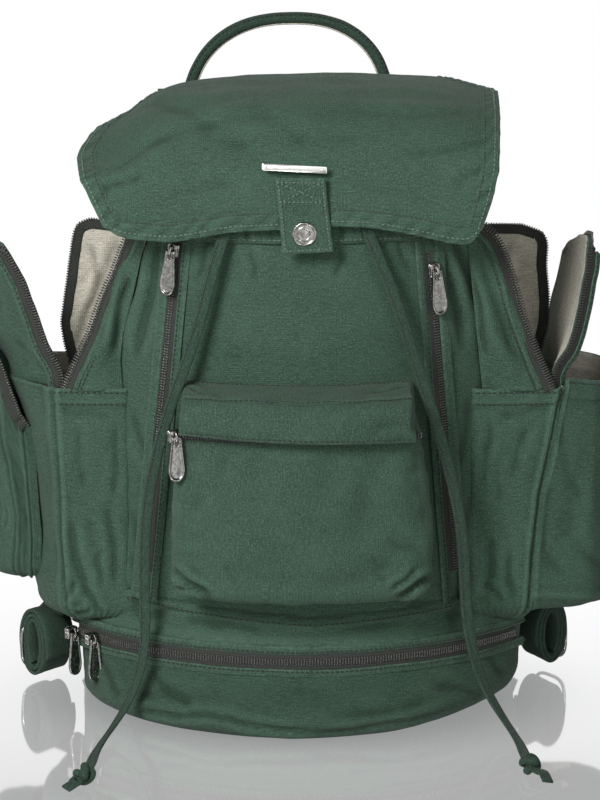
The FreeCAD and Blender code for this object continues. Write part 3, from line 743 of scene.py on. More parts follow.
def build_casing():
    """The band that the drawcord runs in, gathered between its two stitch lines."""
    z = np.linspace(345, 373.5, 16)
    angle = np.radians(np.linspace(-31, 31, 190))
    r = front_radius(346.0) + 2.2
    row = np.stack([r * np.sin(angle), ARC_Y - r * np.cos(angle), 0 * angle], -1)
    p = np.array([row + (0, 0, h) for h in z])
    u, v = cloth_lengths(p)
    between = smooth(0, 5, p[..., 2] - 345) * smooth(0, 5, 373.5 - p[..., 2])
    ruffle = np.sin(u / 2.6 + 1.8 * noise(u / 14, v / 20, 2)) + 0.5 * np.sin(u / 1.3 + v / 6)
    relief = -0.8 + between * (0.8 + 0.7 * ruffle)
    sheet_grid("casing", p, u, v, relief, "pack", ["drawcord_casing"], wear=0.3 * (1 - between), thick=1.6)
    for row in (1.5, 14.0):
        path, out = on_sheet("casing", row, np.linspace(1, 188, 160))
        stitches("casing_stitches_" + str(int(row)), path, out, "pack")


def base_corner(x):
    """How round the lower front edge is, from left to right."""
    return 12 + 16 * smooth(-60, 150, x)


def base_swell(x, y, z):
    """How far the full base bulges past its flat pattern: most at the front, low down."""
    upper = np.interp(x, [-150, -120], [54, 45])
    full = smooth(upper, upper - 33, z)
    ahead = smooth(40, -40, y)
    across = np.interp(x, [-158, -138, -110, -76, 0, 60, 110, 158], [-3, 6, 14, 19, 26, 27, 15, 0])
    return full * (across * ahead + 1.5 * (1 - ahead))


BASE_CREASES = [
    ((-134, 20), (-60, 30), 4.0, 1.6), ((-60, 14), (30, 10), 4.0, 1.5), ((20, 20), (110, 26), 4.5, 1.5),
    ((-104, 36), (-70, 16), 3.5, 1.3), ((92, 34), (128, 18), 3.5, 1.5), ((-20, 34), (50, 28), 5.0, 0.9),
    ((-146, 40), (-126, 14), 3.5, 1.5), ((132, 40), (146, 24), 3.0, 1.3),
    ((-112, 11), (-62, 17), 2.6, 3.0), ((-62, 17), (10, 8), 2.6, 3.0), ((10, 8), (100, 15), 2.6, 2.4),
]


def build_base():
    """The base compartment's wall, rolled under at its lower edge to meet the bottom."""
    steps = np.concatenate([np.linspace(59.5, 30, 20), np.linspace(29, 0, 22)])
    rows = []
    for level in steps:
        row = wrap_row(158.0, BASE_R, BACK_Y, level, 46, 170)
        reach = base_corner(row[:, 0])
        drop = np.clip((reach - level) / reach, 0, 1)
        inset = reach * (1 - np.sqrt(np.clip(1 - drop ** 2, 0, 1)))
        away = row[:, :2] - (0, ARC_Y - 60)
        away = away / np.linalg.norm(away, axis=1, keepdims=True)
        swell = base_swell(row[:, 0], row[:, 1], level)
        row[:, :2] += away * (swell - inset)[:, None]
        rows.append(row)
    p = soften(np.array(rows), 16)
    p[..., 2] += 0.9
    u, v = cloth_lengths(p)
    x, height = p[..., 0], p[..., 2]
    front = smooth(10, -30, p[..., 1])
    relief = clouds(u, height, (46, 30, 14, 1.2), (15, 14, 3, 0.35))
    relief = relief + front * creases(x, height, BASE_CREASES)
    relief = relief * smooth(0.8, 6, height)
    relief = np.where(height < 6, np.minimum(relief, (height - 0.5) * 0.4), relief)
    wear = 0.35 * bump(height, 10, 8) + 0.35 * bump(height, 44, 2)
    # the base wears the darker canvas copy, painted shade for its low, less lit wall
    sheet_grid("base", p, u, v, relief, "pack", ["base_wall"], wear=wear, inside="lining",
               cloth="canvas_painted_shade")


def plan_grid(half, radius, y_back, z, rows, columns):
    """A level sheet that fills a front outline, from the back wall to the arc."""
    x = np.linspace(-half, half, columns)
    front = ARC_Y - np.sqrt(radius * radius - x * x)
    share = np.linspace(0, 1, rows)[:, None]
    y = y_back + (front - y_back) * share
    return np.stack([np.broadcast_to(x, y.shape), y, np.full(y.shape, float(z))], -1)


def build_floors():
    """The bottom on the ground, and the floor between the two compartments."""
    p = plan_grid(139.0, 192.0, 76, 1.2, 60, 90)
    x, y = p[..., 0], p[..., 1]
    p[..., 2] += 0.4 + 0.5 * (cloudy(x / 40, y / 40, 21) + 1.7)
    sheet_grid("bottom", p, x, y, 0, "pack", ["bottom_panel"], out=(0, 0, -1), thick=1.4)
    p = plan_grid(150.0, 207.0, 80, 60.5, 50, 80)
    x, y = p[..., 0], p[..., 1]
    sag = 1.1 * cloudy(x / 50, y / 50, 5)
    sheet_grid("divider", p, x, y, sag, "pack", ["compartment_floor"], out=(0, 0, 1), thick=1.4,
               cloth="lining")


def build_back():
    """The back panel."""
    z = np.linspace(3, 415, 110)
    half = np.interp(z, [3, 59, 62, 372, 415], [157, 157, 150, 115, 108])
    half = soften(half[None, :, None], 5)[0, :, 0]
    share = np.linspace(1, -1, 90)
    p = np.array([np.stack([share * w, np.full(90, 84.6), np.full(90, h)], -1) for w, h in zip(half, z)])
    u, v = p[..., 0], p[..., 2]
    relief = clouds(u, v, (50, 60, 31, 1.0), (16, 22, 30, 0.35))
    relief = relief - 1.2 * np.abs(share)[None, :] ** 8
    sheet_grid("back", p, u, v, relief, "pack", ["back_panel"], out=(0, 1, 0), thick=2.2, inside="lining")


def build_back_pad():
    """The pad on the back panel, quilted along three lines each way."""
    low, high = 80, 330
    z = np.linspace(low, high, 90)
    half = 100 - 8 * (z - low) / 250
    share = np.linspace(1, -1, 80)
    edge = np.minimum(np.minimum(z - low, high - z)[:, None], (1 - np.abs(share))[None, :] * half[:, None])
    depth = 8.2 * np.sqrt(np.clip(1 - (1 - np.clip(edge / 14, 0, 1)) ** 2, 0, 1))
    p = np.stack([share[None, :] * half[:, None], 85.6 + depth, np.broadcast_to(z[:, None], depth.shape)], -1)
    u, v = p[..., 0], p[..., 2]
    channel = sum(bump(u, c, 2.2) for c in (-52, 0, 52)) + sum(bump(v, c, 2.2) for c in (142, 205, 268))
    relief = -3.0 * np.clip(channel, 0, 1) * smooth(0, 16, edge) + cloudy(u / 22, v / 22, 6) * 0.4
    obj = sheet_grid("back_cushion", p, u, v, relief, "pack", ["back_pad"], out=(0, 1, 0), thick=1.5,
                     cloth="pad_cloth")


# ---------------------------------------------------------------- flap, plate and snap tab

FLAP_PROFILE = spline([(90, 417), (91.5, 425), (88.5, 431.5), (80, 435), (60, 437.8), (20, 440.3),
                       (-10, 440.3),
                       (-36, 437), (-56, 431.5), (-75, 421), (-89, 408), (-97.5, 392), (-101, 374),
                       (-102.3, 352), (-102.3, 334)], 340)
FLAP_RUN = run_of(FLAP_PROFILE)
FLAP_HEM_Z = ([-1, -0.95, -0.877, -0.651, -0.317, -0.075, 0.215, 0.397, 0.629, 0.84, 0.93, 0.975, 1],
              [359, 353.5, 350.8, 348.2, 355.5, 356.9, 359.5, 358.5, 353.8, 347.5, 346.5, 350, 358])
FLAP_LEFT = ([0, 20, 65, 115, 165, 215, 237, 258], [-104, -106, -119, -141, -151.5, -147, -140, -130])
FLAP_RIGHT = ([0, 20, 65, 100, 112, 165, 215, 237, 258], [97, 99, 118, 134.5, 137, 135.5, 133, 128.5, 121.5])
FLAP_CREASES = [
    ((-120, 183), (-20, 175), 7.0, 1.6), ((-60, 199), (60, 191), 7.5, 1.3), ((10, 173), (118, 165), 7.0, 1.4),
    ((-132, 205), (-88, 185), 6.0, 1.3), ((-110, 155), (-30, 143), 9.0, 1.2),
    ((20, 151), (112, 141), 9.0, 1.2),
    ((60, 211), (126, 191), 6.5, 1.3), ((-40, 221), (-100, 239), 6.0, 0.9), ((38, 223), (96, 243), 6.5, 0.9),
    ((-136, 229), (-104, 215), 5.0, 0.9), ((-80, 115), (60, 111), 10.0, 1.1),
    ((-14, 211), (20, 215), 5.0, 0.6),
    ((102, 229), (126, 211), 5.0, 1.0), ((-108, 112), (-56, 190), 9.0, 2.6),
    ((-60, 186), (-20, 214), 8.0, 1.6), ((-30, 165), (10, 205), 6.0, 0.7), ((-96, 85), (-40, 103), 9.0, 1.2),
]


def flap_droop(x, run):
    """How far the flap hangs below its crown towards its sides."""
    left = np.interp(x, [-152, -140, -128, -119, -111, -103, -94, -86, -72, -58, -40],
                     [31, 29, 26.3, 22.5, 17, 12, 8, 5.4, 3, 1.4, 0])
    right = 1.2 * smooth(60, 104, x) + 3.2 * smooth(96, 130, x) - 1.8 * bump(x, 22, 40)
    return (left + right) * smooth(243, 165, run)


def flap_grid(inset, back):
    """Points of the flap, from its back hinge to its lower edge, moved back from its face."""
    u = np.linspace(-1, 1, 170)
    v = np.linspace(0, 1, 150)[:, None]
    hem = soften(np.interp(u, *FLAP_HEM_Z)[None, :, None], 6)[0, :, 0]
    drop = slice(220, None)
    last = np.interp(hem, FLAP_PROFILE[drop][::-1, 1], FLAP_RUN[drop][::-1]) - inset
    run = v * last[None, :]
    left = np.interp(run, *FLAP_LEFT) + inset
    right = np.interp(run, *FLAP_RIGHT) - inset
    x = left + (right - left) * (u[None, :] + 1) / 2
    y = np.interp(run, FLAP_RUN, FLAP_PROFILE[:, 0])
    z = np.interp(run, FLAP_RUN, FLAP_PROFILE[:, 1]) - flap_droop(x, run)
    p = soften(soften(np.stack([x, y, z], -1), 2), 4, 0)
    n = normals_of(p)
    flip = 1.0 if n[75, 85, 2] > 0 else -1.0
    edge = np.minimum(np.minimum(x - left, right - x), last[None, :] - run)
    return p - n * flip * back, x, run, edge


def build_flap_root():
    """The strip of the flap that is sewn down behind the back panel's upper edge."""
    path = spline([(87.6, 404), (88.6, 409), (90.2, 415), (91.0, 420), (91.0, 424)], 16)
    across = np.linspace(-103, 96, 110)
    p = np.array([np.stack([across, np.full(110, y), np.full(110, z)], -1) for y, z in path])
    u, v = cloth_lengths(p)
    relief = cloudy(u / 20, v / 14, 12) * 0.3 - 0.6 * bump(v, 3.4, 0.7)
    return sheet_grid("flap_root", p, u, v, relief, "flap", out=(0, 1, 0), thick=1.2, ride=False)


def build_flap_face():
    p, x, run, edge = flap_grid(0.0, 0.0)
    fold = creases(x, run, FLAP_CREASES) + cloudy(x / 62, run / 46, 17) + cloudy(x / 18, run / 15, 12) * 0.3
    fade = smooth(0, 16, run) * smooth(-6, 20, edge)
    free = smooth(30, 50, run)
    hem = smooth(12.8, 10.8, edge) * free
    pucker = 0.35 * np.sin((x + run) / 2.4 + 2 * noise(x / 20, run / 20, 7)) * hem
    curl = 2.2 * smooth(150, 235, run) * (np.sin(x / 24 + 1) * 0.5) * smooth(40, 0, edge)
    relief = fold * fade + 0.3 * hem + pucker + curl - 0.12 * bump(edge, 13.4, 1.1) * free
    wear = (bump(edge, 0, 1.3) * 1.0 + 0.12 * bump(edge, 11.6, 1.2)) * free
    return sheet_grid("flap", p, x, run, relief, "flap", ["main_flap"], out=(0, -0.7, 0.7), wear=wear,
                      thick=2.0, ride=False)


def flap_stitches(inset, thread):
    """A stitch row down one side of the flap, along its hem and up the other side."""
    last_row, last_column = 149 - inset / 1.63, 169 - inset / 1.72
    side_rows = np.linspace(22, last_row, 110)
    left = np.full(110, inset / 1.72)
    low = np.linspace(inset / 1.72, last_column, 170)
    rows = np.concatenate([side_rows, np.full(169, last_row), side_rows[::-1][1:]])
    columns = np.concatenate([left, low[1:], (169 - left)[1:]])
    path, out = on_sheet("flap", rows, columns)
    return stitches("flap_stitches_" + str(int(inset)), path, out, "flap", thread, ride=False)


def build_flap():
    """The flap's face, two stitch rows, lining and sewn root."""
    face = build_flap_face()
    rows = [flap_stitches(3.4, "thread"), flap_stitches(10.6, "thread_mid")]
    p, x, run, _ = flap_grid(3.0, 2.9)
    soft = cloudy(x / 40, run / 40, 3) * 0.8
    lining = sheet_grid("flap_lining_cloth", p, x, run, soft, "flap", ["flap_lining"], out=(0, -0.7, 0.7),
                        thick=0.7, cloth="lining", ride=False)
    others = rows + [build_flap_root(), lining]
    for piece in [face] + others:
        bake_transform(piece)


TAB_CREASES = [((-14, 372), (20, 366), 3.0, 0.7), ((-10, 350), (18, 346), 3.0, 0.5)]


def box_row(rows, columns, steps):
    """Places round a rectangle of a sheet's grid: up one side, across, down and back."""
    (r0, r1), (c0, c1), (up, over) = rows, columns, steps
    along, across = np.linspace(r0, r1, up), np.linspace(c0, c1, over)
    return (np.concatenate([along, np.full(over, r1), np.linspace(r1, r0, up), np.full(over, r0)]),
            np.concatenate([np.full(up, c0), across, np.full(up, c1), np.linspace(c1, c0, over)]))


def build_tab():
    """The strip of doubled canvas that carries the snap, sewn to the flap with a crossed box."""
    high, low = 392.5, 341.6
    z = np.linspace(high, 341.8, 70)
    share = np.linspace(0, 1, 44)
    left = np.interp(z, [341, 376, 392], [-11.5, -15, -17])[:, None]
    right = np.interp(z, [343, 376, 392], [22.5, 18.6, 17])[:, None]
    x = left + (right - left) * share[None, :]
    tilt = (share[None, :] - 0.5) * 2.2 * smooth(350, 342, z)[:, None]
    height = np.broadcast_to(z[:, None], x.shape) + tilt
    y = -104.7 - 0.5 * smooth(378, 360, height) - 0.9 * smooth(352, 342, height)
    edge = np.minimum(np.minimum(x - left, right - x), np.minimum(high - height, height - low))
    dome = 0.9 * bump(np.hypot(x - 3, height - 355), 0, 11)
    relief = 0.9 * smooth(0, 1.6, edge) - 0.45 * bump(edge, 2.8, 0.8) + creases(x, height, TAB_CREASES) + dome
    relief = relief + 0.25 * cloudy(x / 12, height / 12, 8)
    pieces = [sheet_grid("tab", np.stack([x, y, height], -1), x, height, relief, "tab",
                         ["snap_tab", "snap_tab_root"],
                         wear=0.9 * bump(edge, 0, 1.2), thick=2.6, cloth="canvas_turned", ride=False)]
    rows = {"tab_stitches": box_row((4, 66), (2.8, 40.2), (60, 40))}
    for k, (way, across) in enumerate([((22, 22), (3, 40)), ((4, 22), (3, 40)), ((22, 4), (3, 40))]):
        rows["tab_cross_" + str(k)] = np.linspace(*way, 40), np.linspace(*across, 40)
    for name, places in rows.items():
        path, out = on_sheet("tab", *places)
        pieces.append(stitches(name, path, out, "tab", pitch=2.6, long=1.9, ride=False))
    for piece in pieces:
        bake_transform(piece)


def lathe(name, profile, centre, out, turns=48):
    """A turned part: (radius, height) points carried round an axis through a centre."""
    out = np.asarray(out, float) / np.linalg.norm(out)
    side = np.cross(out, (0.3, 0.2, 1))
    side /= np.linalg.norm(side)
    up = np.cross(out, side)
    angle = np.linspace(0, 2 * math.pi, turns, endpoint=False)
    ring = np.outer(np.cos(angle), side) + np.outer(np.sin(angle), up)
    p = [np.asarray(centre, float) + ring * radius + out * height for radius, height in profile]
    return mesh_object(name, np.array(p), grid_faces(len(profile), turns, True))


def build_snap():
    """A ring snap: a shallow cap with a raised rim and a beaded ring, and the socket and stud behind it."""
    cap = [(8.5, 0), (8.6, 0.7), (8.3, 1.7), (7.6, 2.3), (6.9, 2.35), (6.5, 1.9), (6.2, 1.75), (5.2, 2.0),
           (4.4, 2.35), (3.9, 2.3), (3.5, 1.95), (2.2, 2.2), (1.0, 2.55), (0.01, 2.6)]
    socket = [(3.2, 3.4), (4.4, 3.5), (4.9, 3.0), (5.9, 2.8), (6.0, 0.3), (5.6, 0.0), (0.01, 0.0)]
    stud = [(4.5, 0), (4.5, 0.9), (3.6, 1.3), (2.3, 1.6), (2.1, 3.3), (2.5, 4.3), (2.2, 4.9), (0.01, 5.1)]
    for name, node, profile, y, way, body in (("snap_cap_dome", "snap_cap", cap, -105.35, -1, "tab"),
                                              ("snap_socket_ring", "snap_socket", socket, -103.05, 1, "tab"),
                                              ("snap_stud_peg", "snap_stud", stud, -93.7, -1, "pack")):
        turned = lathe(name, profile, (3, y, 355), (0, way, 0))
        finish_piece(turned, "old_metal", body, [node])


def rounded_plate(name, outline, origin, across, down, out, thick, edge):
    """A thin plate with rounded edges from an (across, down) outline; its middle stands a little proud."""
    outline = np.asarray(outline, float)
    ways = outline - outline.mean(0)
    ways = ways / np.linalg.norm(ways, axis=1, keepdims=True)
    rings = []
    for inset, height in ((0.0, 0.0), (0.0, thick - edge), (edge * 0.4, thick - edge * 0.25), (edge, thick)):
        rings.append(np.hstack([outline - ways * inset, np.full((len(outline), 1), height)]))
    p = np.array(rings)
    world = (np.asarray(origin, float) + p[..., :1] * np.asarray(across, float)
             + p[..., 1:2] * np.asarray(down, float) + p[..., 2:] * np.asarray(out, float))
    n = len(outline)
    faces = grid_faces(len(rings), n, True).tolist()
    faces.append(list(range((len(rings) - 1) * n, len(rings) * n)))
    faces.append(list(range(n))[::-1])
    return mesh_object(name, world, faces)


def rounded_box(width, height, radius):
    """A rounded rectangle's outline about its middle."""
    points = []
    for cx, cy, start in ((1, 1, 0), (-1, 1, 90), (-1, -1, 180), (1, -1, 270)):
        for k in range(8):
            a = math.radians(start + 90 * k / 7)
            points.append((cx * (width / 2 - radius) + radius * math.cos(a),
                           cy * (height / 2 - radius) + radius * math.sin(a)))
    return points


def build_plate():
    """A plain silver plate held by two pins."""
    parts = [rounded_plate("plate", rounded_box(43.5, 4.7, 0.9), (-3.75, -103.2, 398.8), (1, 0, -0.055),
                           (0, 0, -1), (0, -1, 0), 1.25, 0.35)]
    pin = [(1.0, 0), (0.95, 0.3), (0.5, 0.55), (0.01, 0.6)]
    for k, (x, z) in enumerate([(-22.6, 399.9), (15.1, 397.8)]):
        parts.append(lathe("plate_pin_" + str(k), pin, (x, -104.4, z), (0, -1, 0), 16))
    finish_piece(join("plate", parts), "bright_metal", "flap", ["label_plate"])


# ---------------------------------------------------------------- front pocket and its storm flap

POCKET_OUTLINE = spline([(-79, 228.5), (-80.5, 216), (-83.5, 190), (-86.5, 160), (-87.5, 135), (-86.5, 117),
                         (-82, 107.5),
                         (-66, 104.5), (-30, 103.5), (0, 103.5), (35, 103.5), (68, 104.5), (84, 107.5),
                         (89, 119), (90, 140), (89.5, 165), (86, 190), (81.5, 214), (79, 228.5)], 240)
POCKET_CREASES = [
    ((-86, 124), (-62, 108), 2.6, 4.0), ((-86, 114), (-74, 111), 1.8, 2.4), ((90, 120), (66, 109), 2.6, 4.2),
    ((80, 126), (62, 113), 2.4, 2.2), ((-78, 214), (-70, 160), 8.0, 1.6), ((78, 210), (84, 150), 7.0, 1.5),
    ((-30, 212), (-18, 150), 9.0, 1.1), ((24, 212), (12, 160), 9.0, 1.2), ((-60, 130), (10, 112), 8.0, 1.3),
    ((14, 114), (70, 134), 8.0, 1.4), ((52, 206), (40, 150), 9.0, 0.9), ((-56, 208), (-48, 172), 7.0, 0.9),
    ((60, 150), (84, 132), 6.0, 1.0),
]


def pocket_depth(z):
    """How far the front pocket's face stands out from the panel."""
    return 39.0 + 1.5 * bump(z, 130, 40)


def build_front_pocket():
    """A full pocket: a bulging face, rolled edges, and walls that run back to the panel."""
    outline = resample(np.vstack([POCKET_OUTLINE, POCKET_OUTLINE[:1]]), 261)[:-1]
    for _ in range(10):
        outline = (np.roll(outline, 1, axis=0) + 2 * outline + np.roll(outline, -1, axis=0)) / 4
    way = np.roll(outline, -1, axis=0) - np.roll(outline, 1, axis=0)
    way = np.vstack([way, way[:1]])
    outline = np.vstack([outline, outline[:1]])
    side = np.stack([-way[:, 1], way[:, 0]], -1)
    side /= np.linalg.norm(side, axis=1, keepdims=True)
    centre = np.array([0.0, 168.0])
    if float(np.sum(side[60] * (outline[60] - centre))) < 0:
        side = -side
    roll = 8.0
    ways = outline - centre
    reach = np.abs(np.sum(ways * side, axis=1, keepdims=True))
    inner = centre + ways * (1 - roll / reach)
    rows = [(inner * share + centre * (1 - share), 0.0, 0.0) for share in np.linspace(0.004, 1, 64)]
    for a in np.radians(np.linspace(12, 90, 8)):
        rows.append((inner + (outline - inner) * math.sin(a), roll * (1 - math.cos(a)), roll * a))
    for share in np.linspace(0.08, 1, 12):
        lean = side * 2.2 * share
        rows.append((outline + lean * (side[:, 1:] < -0.5), roll + share * 32.5, roll * 1.57 + share * 32))
    points, cloth, flat = [], [], []
    for place, drop, run in rows:
        r = front_radius(place[:, 1]) + np.maximum(pocket_depth(place[:, 1]) - drop, -0.8)
        points.append(np.stack([place[:, 0], ARC_Y - np.sqrt(r * r - place[:, 0] ** 2), place[:, 1]], -1))
        cloth.append(place + side * (run - (roll if drop > 0 else 0)))
        flat.append(np.full(len(place), drop))
    p, cloth, flat = np.array(points), np.array(cloth), np.array(flat)
    x, z = p[..., 0], p[..., 2]
    face = smooth(14, 4, flat)
    relief = face * (creases(x, z, POCKET_CREASES) * 1.7 + cloudy(x / 46, z / 44, 23) * 2.2
                     + cloudy(x / 15, z / 22, 2) * 0.4) * smooth(214, 206, z)
    ring = np.broadcast_to(np.arange(261) / 260.0, x.shape)
    rumple = np.sin(ring * 150 + 3 * noise(ring * 30, flat / 14, 4)) * 0.8
    relief = relief + (1 - face) * smooth(40, 28, flat) * rumple
    wear = 0.55 * bump(flat, 5, 3.5) * (0.5 + 0.5 * noise(x / 14, z / 14, 6))
    sheet_grid("front_pocket", p, cloth[..., 0], cloth[..., 1], relief, "pack", ["front_pocket_bag"],
               wear=wear, thick=2.2, inside="lining", cloth="canvas_turned")
    # the welt wears the darker canvas copy, painted shade under the pocket
    welt, out = panel_path(-76, 97.5, 80, 96.5, 1.2)
    swept_piece("front_pocket_welt", welt, open_oval(1.7, 1.7, 5.5, 9), out, "canvas_painted_shade")


STORM_PROFILE = spline([(0.4, 248.0), (14, 247.6), (28, 246.4), (38.5, 244.6), (45.5, 241), (48.0, 235),
                        (48.6, 228), (48.4, 219.5)], 46)
STORM_CREASES = [
    ((-70, 4), (-50, 40), 5.0, 1.6), ((60, 4), (40, 36), 5.5, 1.6), ((-30, 6), (-12, 44), 7.0, 1.2),
    ((20, 10), (0, 46), 7.0, 1.1), ((-60, 52), (30, 48), 6.0, 0.9), ((76, 14), (52, 22), 3.5, 1.8),
    ((-78, 16), (-62, 30), 3.0, 2.2), ((30, 56), (76, 60), 5.0, 0.8),
]


def build_storm_flap():
    """The cover over the pocket's zip: a slope off the panel, a ridge, and a drop with a wavy hem."""
    share = np.linspace(-1, 1, 190)
    across = np.minimum(np.abs(share) / 0.86, 1.0) * np.where(share < 0, -77.5, 74.5)
    beyond = np.clip((np.abs(share) - 0.86) / 0.14, 0, 1)
    across = across + np.sign(share) * beyond * 3.8
    keep = np.cos(beyond * math.pi / 2) ** 0.7
    keep[beyond >= 1] = 0
    rows = []
    for depth, z in STORM_PROFILE:
        sag = smooth(246, 222, z) * (np.interp(across, [-82, -30, 10, 50, 82], [2.5, 0.3, -0.6, -1.6, -2.6]))
        height = z + sag - 3.0 * beyond * smooth(240, 248, z)
        held = 1 - (1 - keep) * smooth(225, 234, z)
        r = front_radius(height) + 0.6 + depth * held
        rows.append(np.stack([across, ARC_Y - np.sqrt(r * r - across ** 2), height + 0 * across], -1))
    p = soften(np.array(rows), 5)
    u, v = cloth_lengths(p)
    fade = smooth(0, 9, v) * (1 - 0.7 * beyond)
    last = v[-1:, :]
    folds = creases(u, v, STORM_CREASES) + cloudy(u / 34, v / 22, 41) * 1.2 + cloudy(u / 12, v / 12, 5) * 0.3
    relief = fade * folds
    relief = relief + 0.9 * np.sin(u / 21 + 0.6) * smooth(last - 30, last, v)
    relief = relief - 0.5 * bump(v, 39, 1.2) + 0.7 * bump(v, 36.5, 1.6)
    wear = 0.7 * bump(v, last, 1.6) + 0.5 * bump(v, 37, 1.5) + 0.4 * bump(v, 1, 1.5)
    pieces = [sheet_grid("storm_cover", p, u, v, relief, "storm_flap", ["pocket_storm_flap"],
                         out=(0, -0.8, 0.6),
                         wear=wear, thick=1.7, inside="lining", cloth="canvas_turned", ride=False)]
    span = np.linspace(14, 175, 200)
    for k, row in enumerate((1.6, 24.5, 43.6)):
        path, out = on_sheet("storm_cover", row, span)
        pieces.append(stitches("storm_stitches_" + str(k), path, out, "storm_flap", "thread_dark",
                               ride=False))
    for piece in pieces:
        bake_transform(piece)


# ---------------------------------------------------------------- zips

def coil(name, path, out, wide, pitch=2.1, lift=0.7, side=0.0):
    """Coil teeth in two rows that meet; one row only, moved to its side, where the zip is open."""
    path, out = with_out(path, out)
    s = frames_along(path, out)[2]
    rows = []
    for way, phase in [(-1, 0.0), (1, 0.5)] if side == 0 else [(side, 0.0)]:
        run = path + s * way * wide * 0.24
        start = int(phase * pitch / max(length_of(path), 1) * len(path))
        rows.append(capsule_row(name, run[start:], out[start:], wide * 0.62, pitch * 0.72, 0.6 + pitch * 0.42,
                                pitch, lift, across=True))
    row = rows[0] if len(rows) == 1 else join(name, rows)
    row.data.materials.append(MATERIALS["coil"])
    return row


def tape(name, path, out, wide, lift, side=0.0):
    """The woven tape that a coil is sewn to."""
    path, out = with_out(path, out)
    _, o, s = frames_along(path, out)
    strip = sweep(name, path + o * lift + s * side, flat_section(wide, 0.7, 0.4), out)
    strip.data.materials.append(MATERIALS["tape"])
    return strip


def zip_half(name, path, out, tape_at, coil_at, body="pack", replaces=(), ride=True):
    """A tape with its coil as one piece; each is given as its width, pitch if any, lift and side."""
    strips = [tape(name + "_tape", path, out, *tape_at), coil(name + "_coil", path, out, *coil_at)]
    return finish_piece(join(name + "_coil", strips), "coil", body, replaces, ride)


def binding(name, path, out, side, wide, lift, high, body="pack", row=True, ride=True, wave=0.25):
    """A folded canvas edge beside a zip, with its stitch row."""
    path, out = with_out(path, out)
    _, o, s = frames_along(path, out)
    k = np.arange(len(path))
    wobble = noise(k / 9.0, k * 0 + side, 5)[:, None] * wave
    middle = path + s * (side + wobble) + o * lift
    half = wide / 2
    section = [(-half, -high * 0.4), (-half * 0.97, high * 0.15), (-half * 0.8, high * 0.44),
               (-half * 0.3, high * 0.5),
               (half * 0.3, high * 0.5), (half * 0.8, high * 0.44), (half * 0.97, high * 0.15),
               (half, -high * 0.4)]
    wear = np.tile([0.2, 0.9, 0.8, 0.1, 0.1, 0.8, 0.9, 0.2], len(path))
    made = [swept_piece(name, middle, section, out, "canvas", body, ride=ride, paint={"wear": wear})]
    if row:
        line = middle + s * (-0.22 * wide * (1 if side > 0 else -1)) + o * high * 0.5
        made.append(stitches(name + "_stitches", line, out, body, "thread_dark", ride=ride))
    return made


def teardrop():
    """Outline of a zip pull: narrow at its bar, round at its end."""
    narrow, wide, length = 3.4, 5.6, 31.0
    right = spline([(narrow, -0.8), (narrow + 0.25, 4), (narrow + 1.0, 11), (wide - 0.3, 19), (wide, 24),
                    (wide * 0.78, 28.6), (wide * 0.36, 30.7), (0, length)], 40)
    return np.vstack([right, (right[::-1] * (-1, 1))[1:]])


def zip_pull(name, origin, out, down):
    """A teardrop pull with a raised rim, a slot near its bar and a hammered middle; the slot is a dark sheet
    of painted shade on a plate with no hole.
    """
    out, down, origin = (np.asarray(v, float) for v in (out, down, origin))
    across = np.cross(down, out)
    outline = teardrop()
    centre = np.array([0.0, 20.5])
    count = 96
    ring = resample(np.vstack([outline, outline[:1]]), count + 1)[:-1]
    inner = centre + (ring - centre) * (0.80, 0.84)
    rings = [(ring, -0.9), (ring * (1.012, 1), -0.3), (ring * (1.012, 1), 0.45), (ring * (0.985, 1), 0.9),
             (inner * (1.07, 1), 0.95), (inner, 0.42)]
    for share in (0.8, 0.55, 0.3, 0.04):
        rings.append((inner * share + centre * (1 - share), 0.45 + 0.28 * math.cos(share * 3)))
    points = []
    for k, (place, high) in enumerate(rings):
        dents = 0.12 * cloudy(place[:, 0] / 1.6, place[:, 1] / 1.6, 3) if k > 4 else 0
        raised = (high + dents + np.zeros(count))[:, None] * out
        points.append(origin + place[:, :1] * across + place[:, 1:] * down + raised)
    faces = grid_faces(len(rings), count, True).tolist()
    faces.append(list(range(count))[::-1])
    plate = mesh_object(name, np.array(points), faces)
    slot_y = 3.4
    slot = [(1.9 * math.cos(a), slot_y + 2.9 * math.sin(a)) for a in np.linspace(0, 2 * math.pi, 80)[1:]]
    hole = [origin + x * across + y * down + out * 0.98 for x, y in slot]
    hole.append(hole[0])
    rim = sweep(name + "_rim", hole, open_oval(0.45, 0.45, 5.4, 7), out, caps=False)
    # painted shade: a flat dark sheet fills the slot, since the plate has no hole there
    slot_shade_points = [origin + x * 0.8 * across + (slot_y + (y - slot_y) * 0.85) * down + out for x, y in slot]
    slot_shade = mesh_object(name + "_well", slot_shade_points, [list(range(len(slot_shade_points)))])
    slot_shade.data.materials.append(MATERIALS["coil"])
    return plate, rim, slot_shade


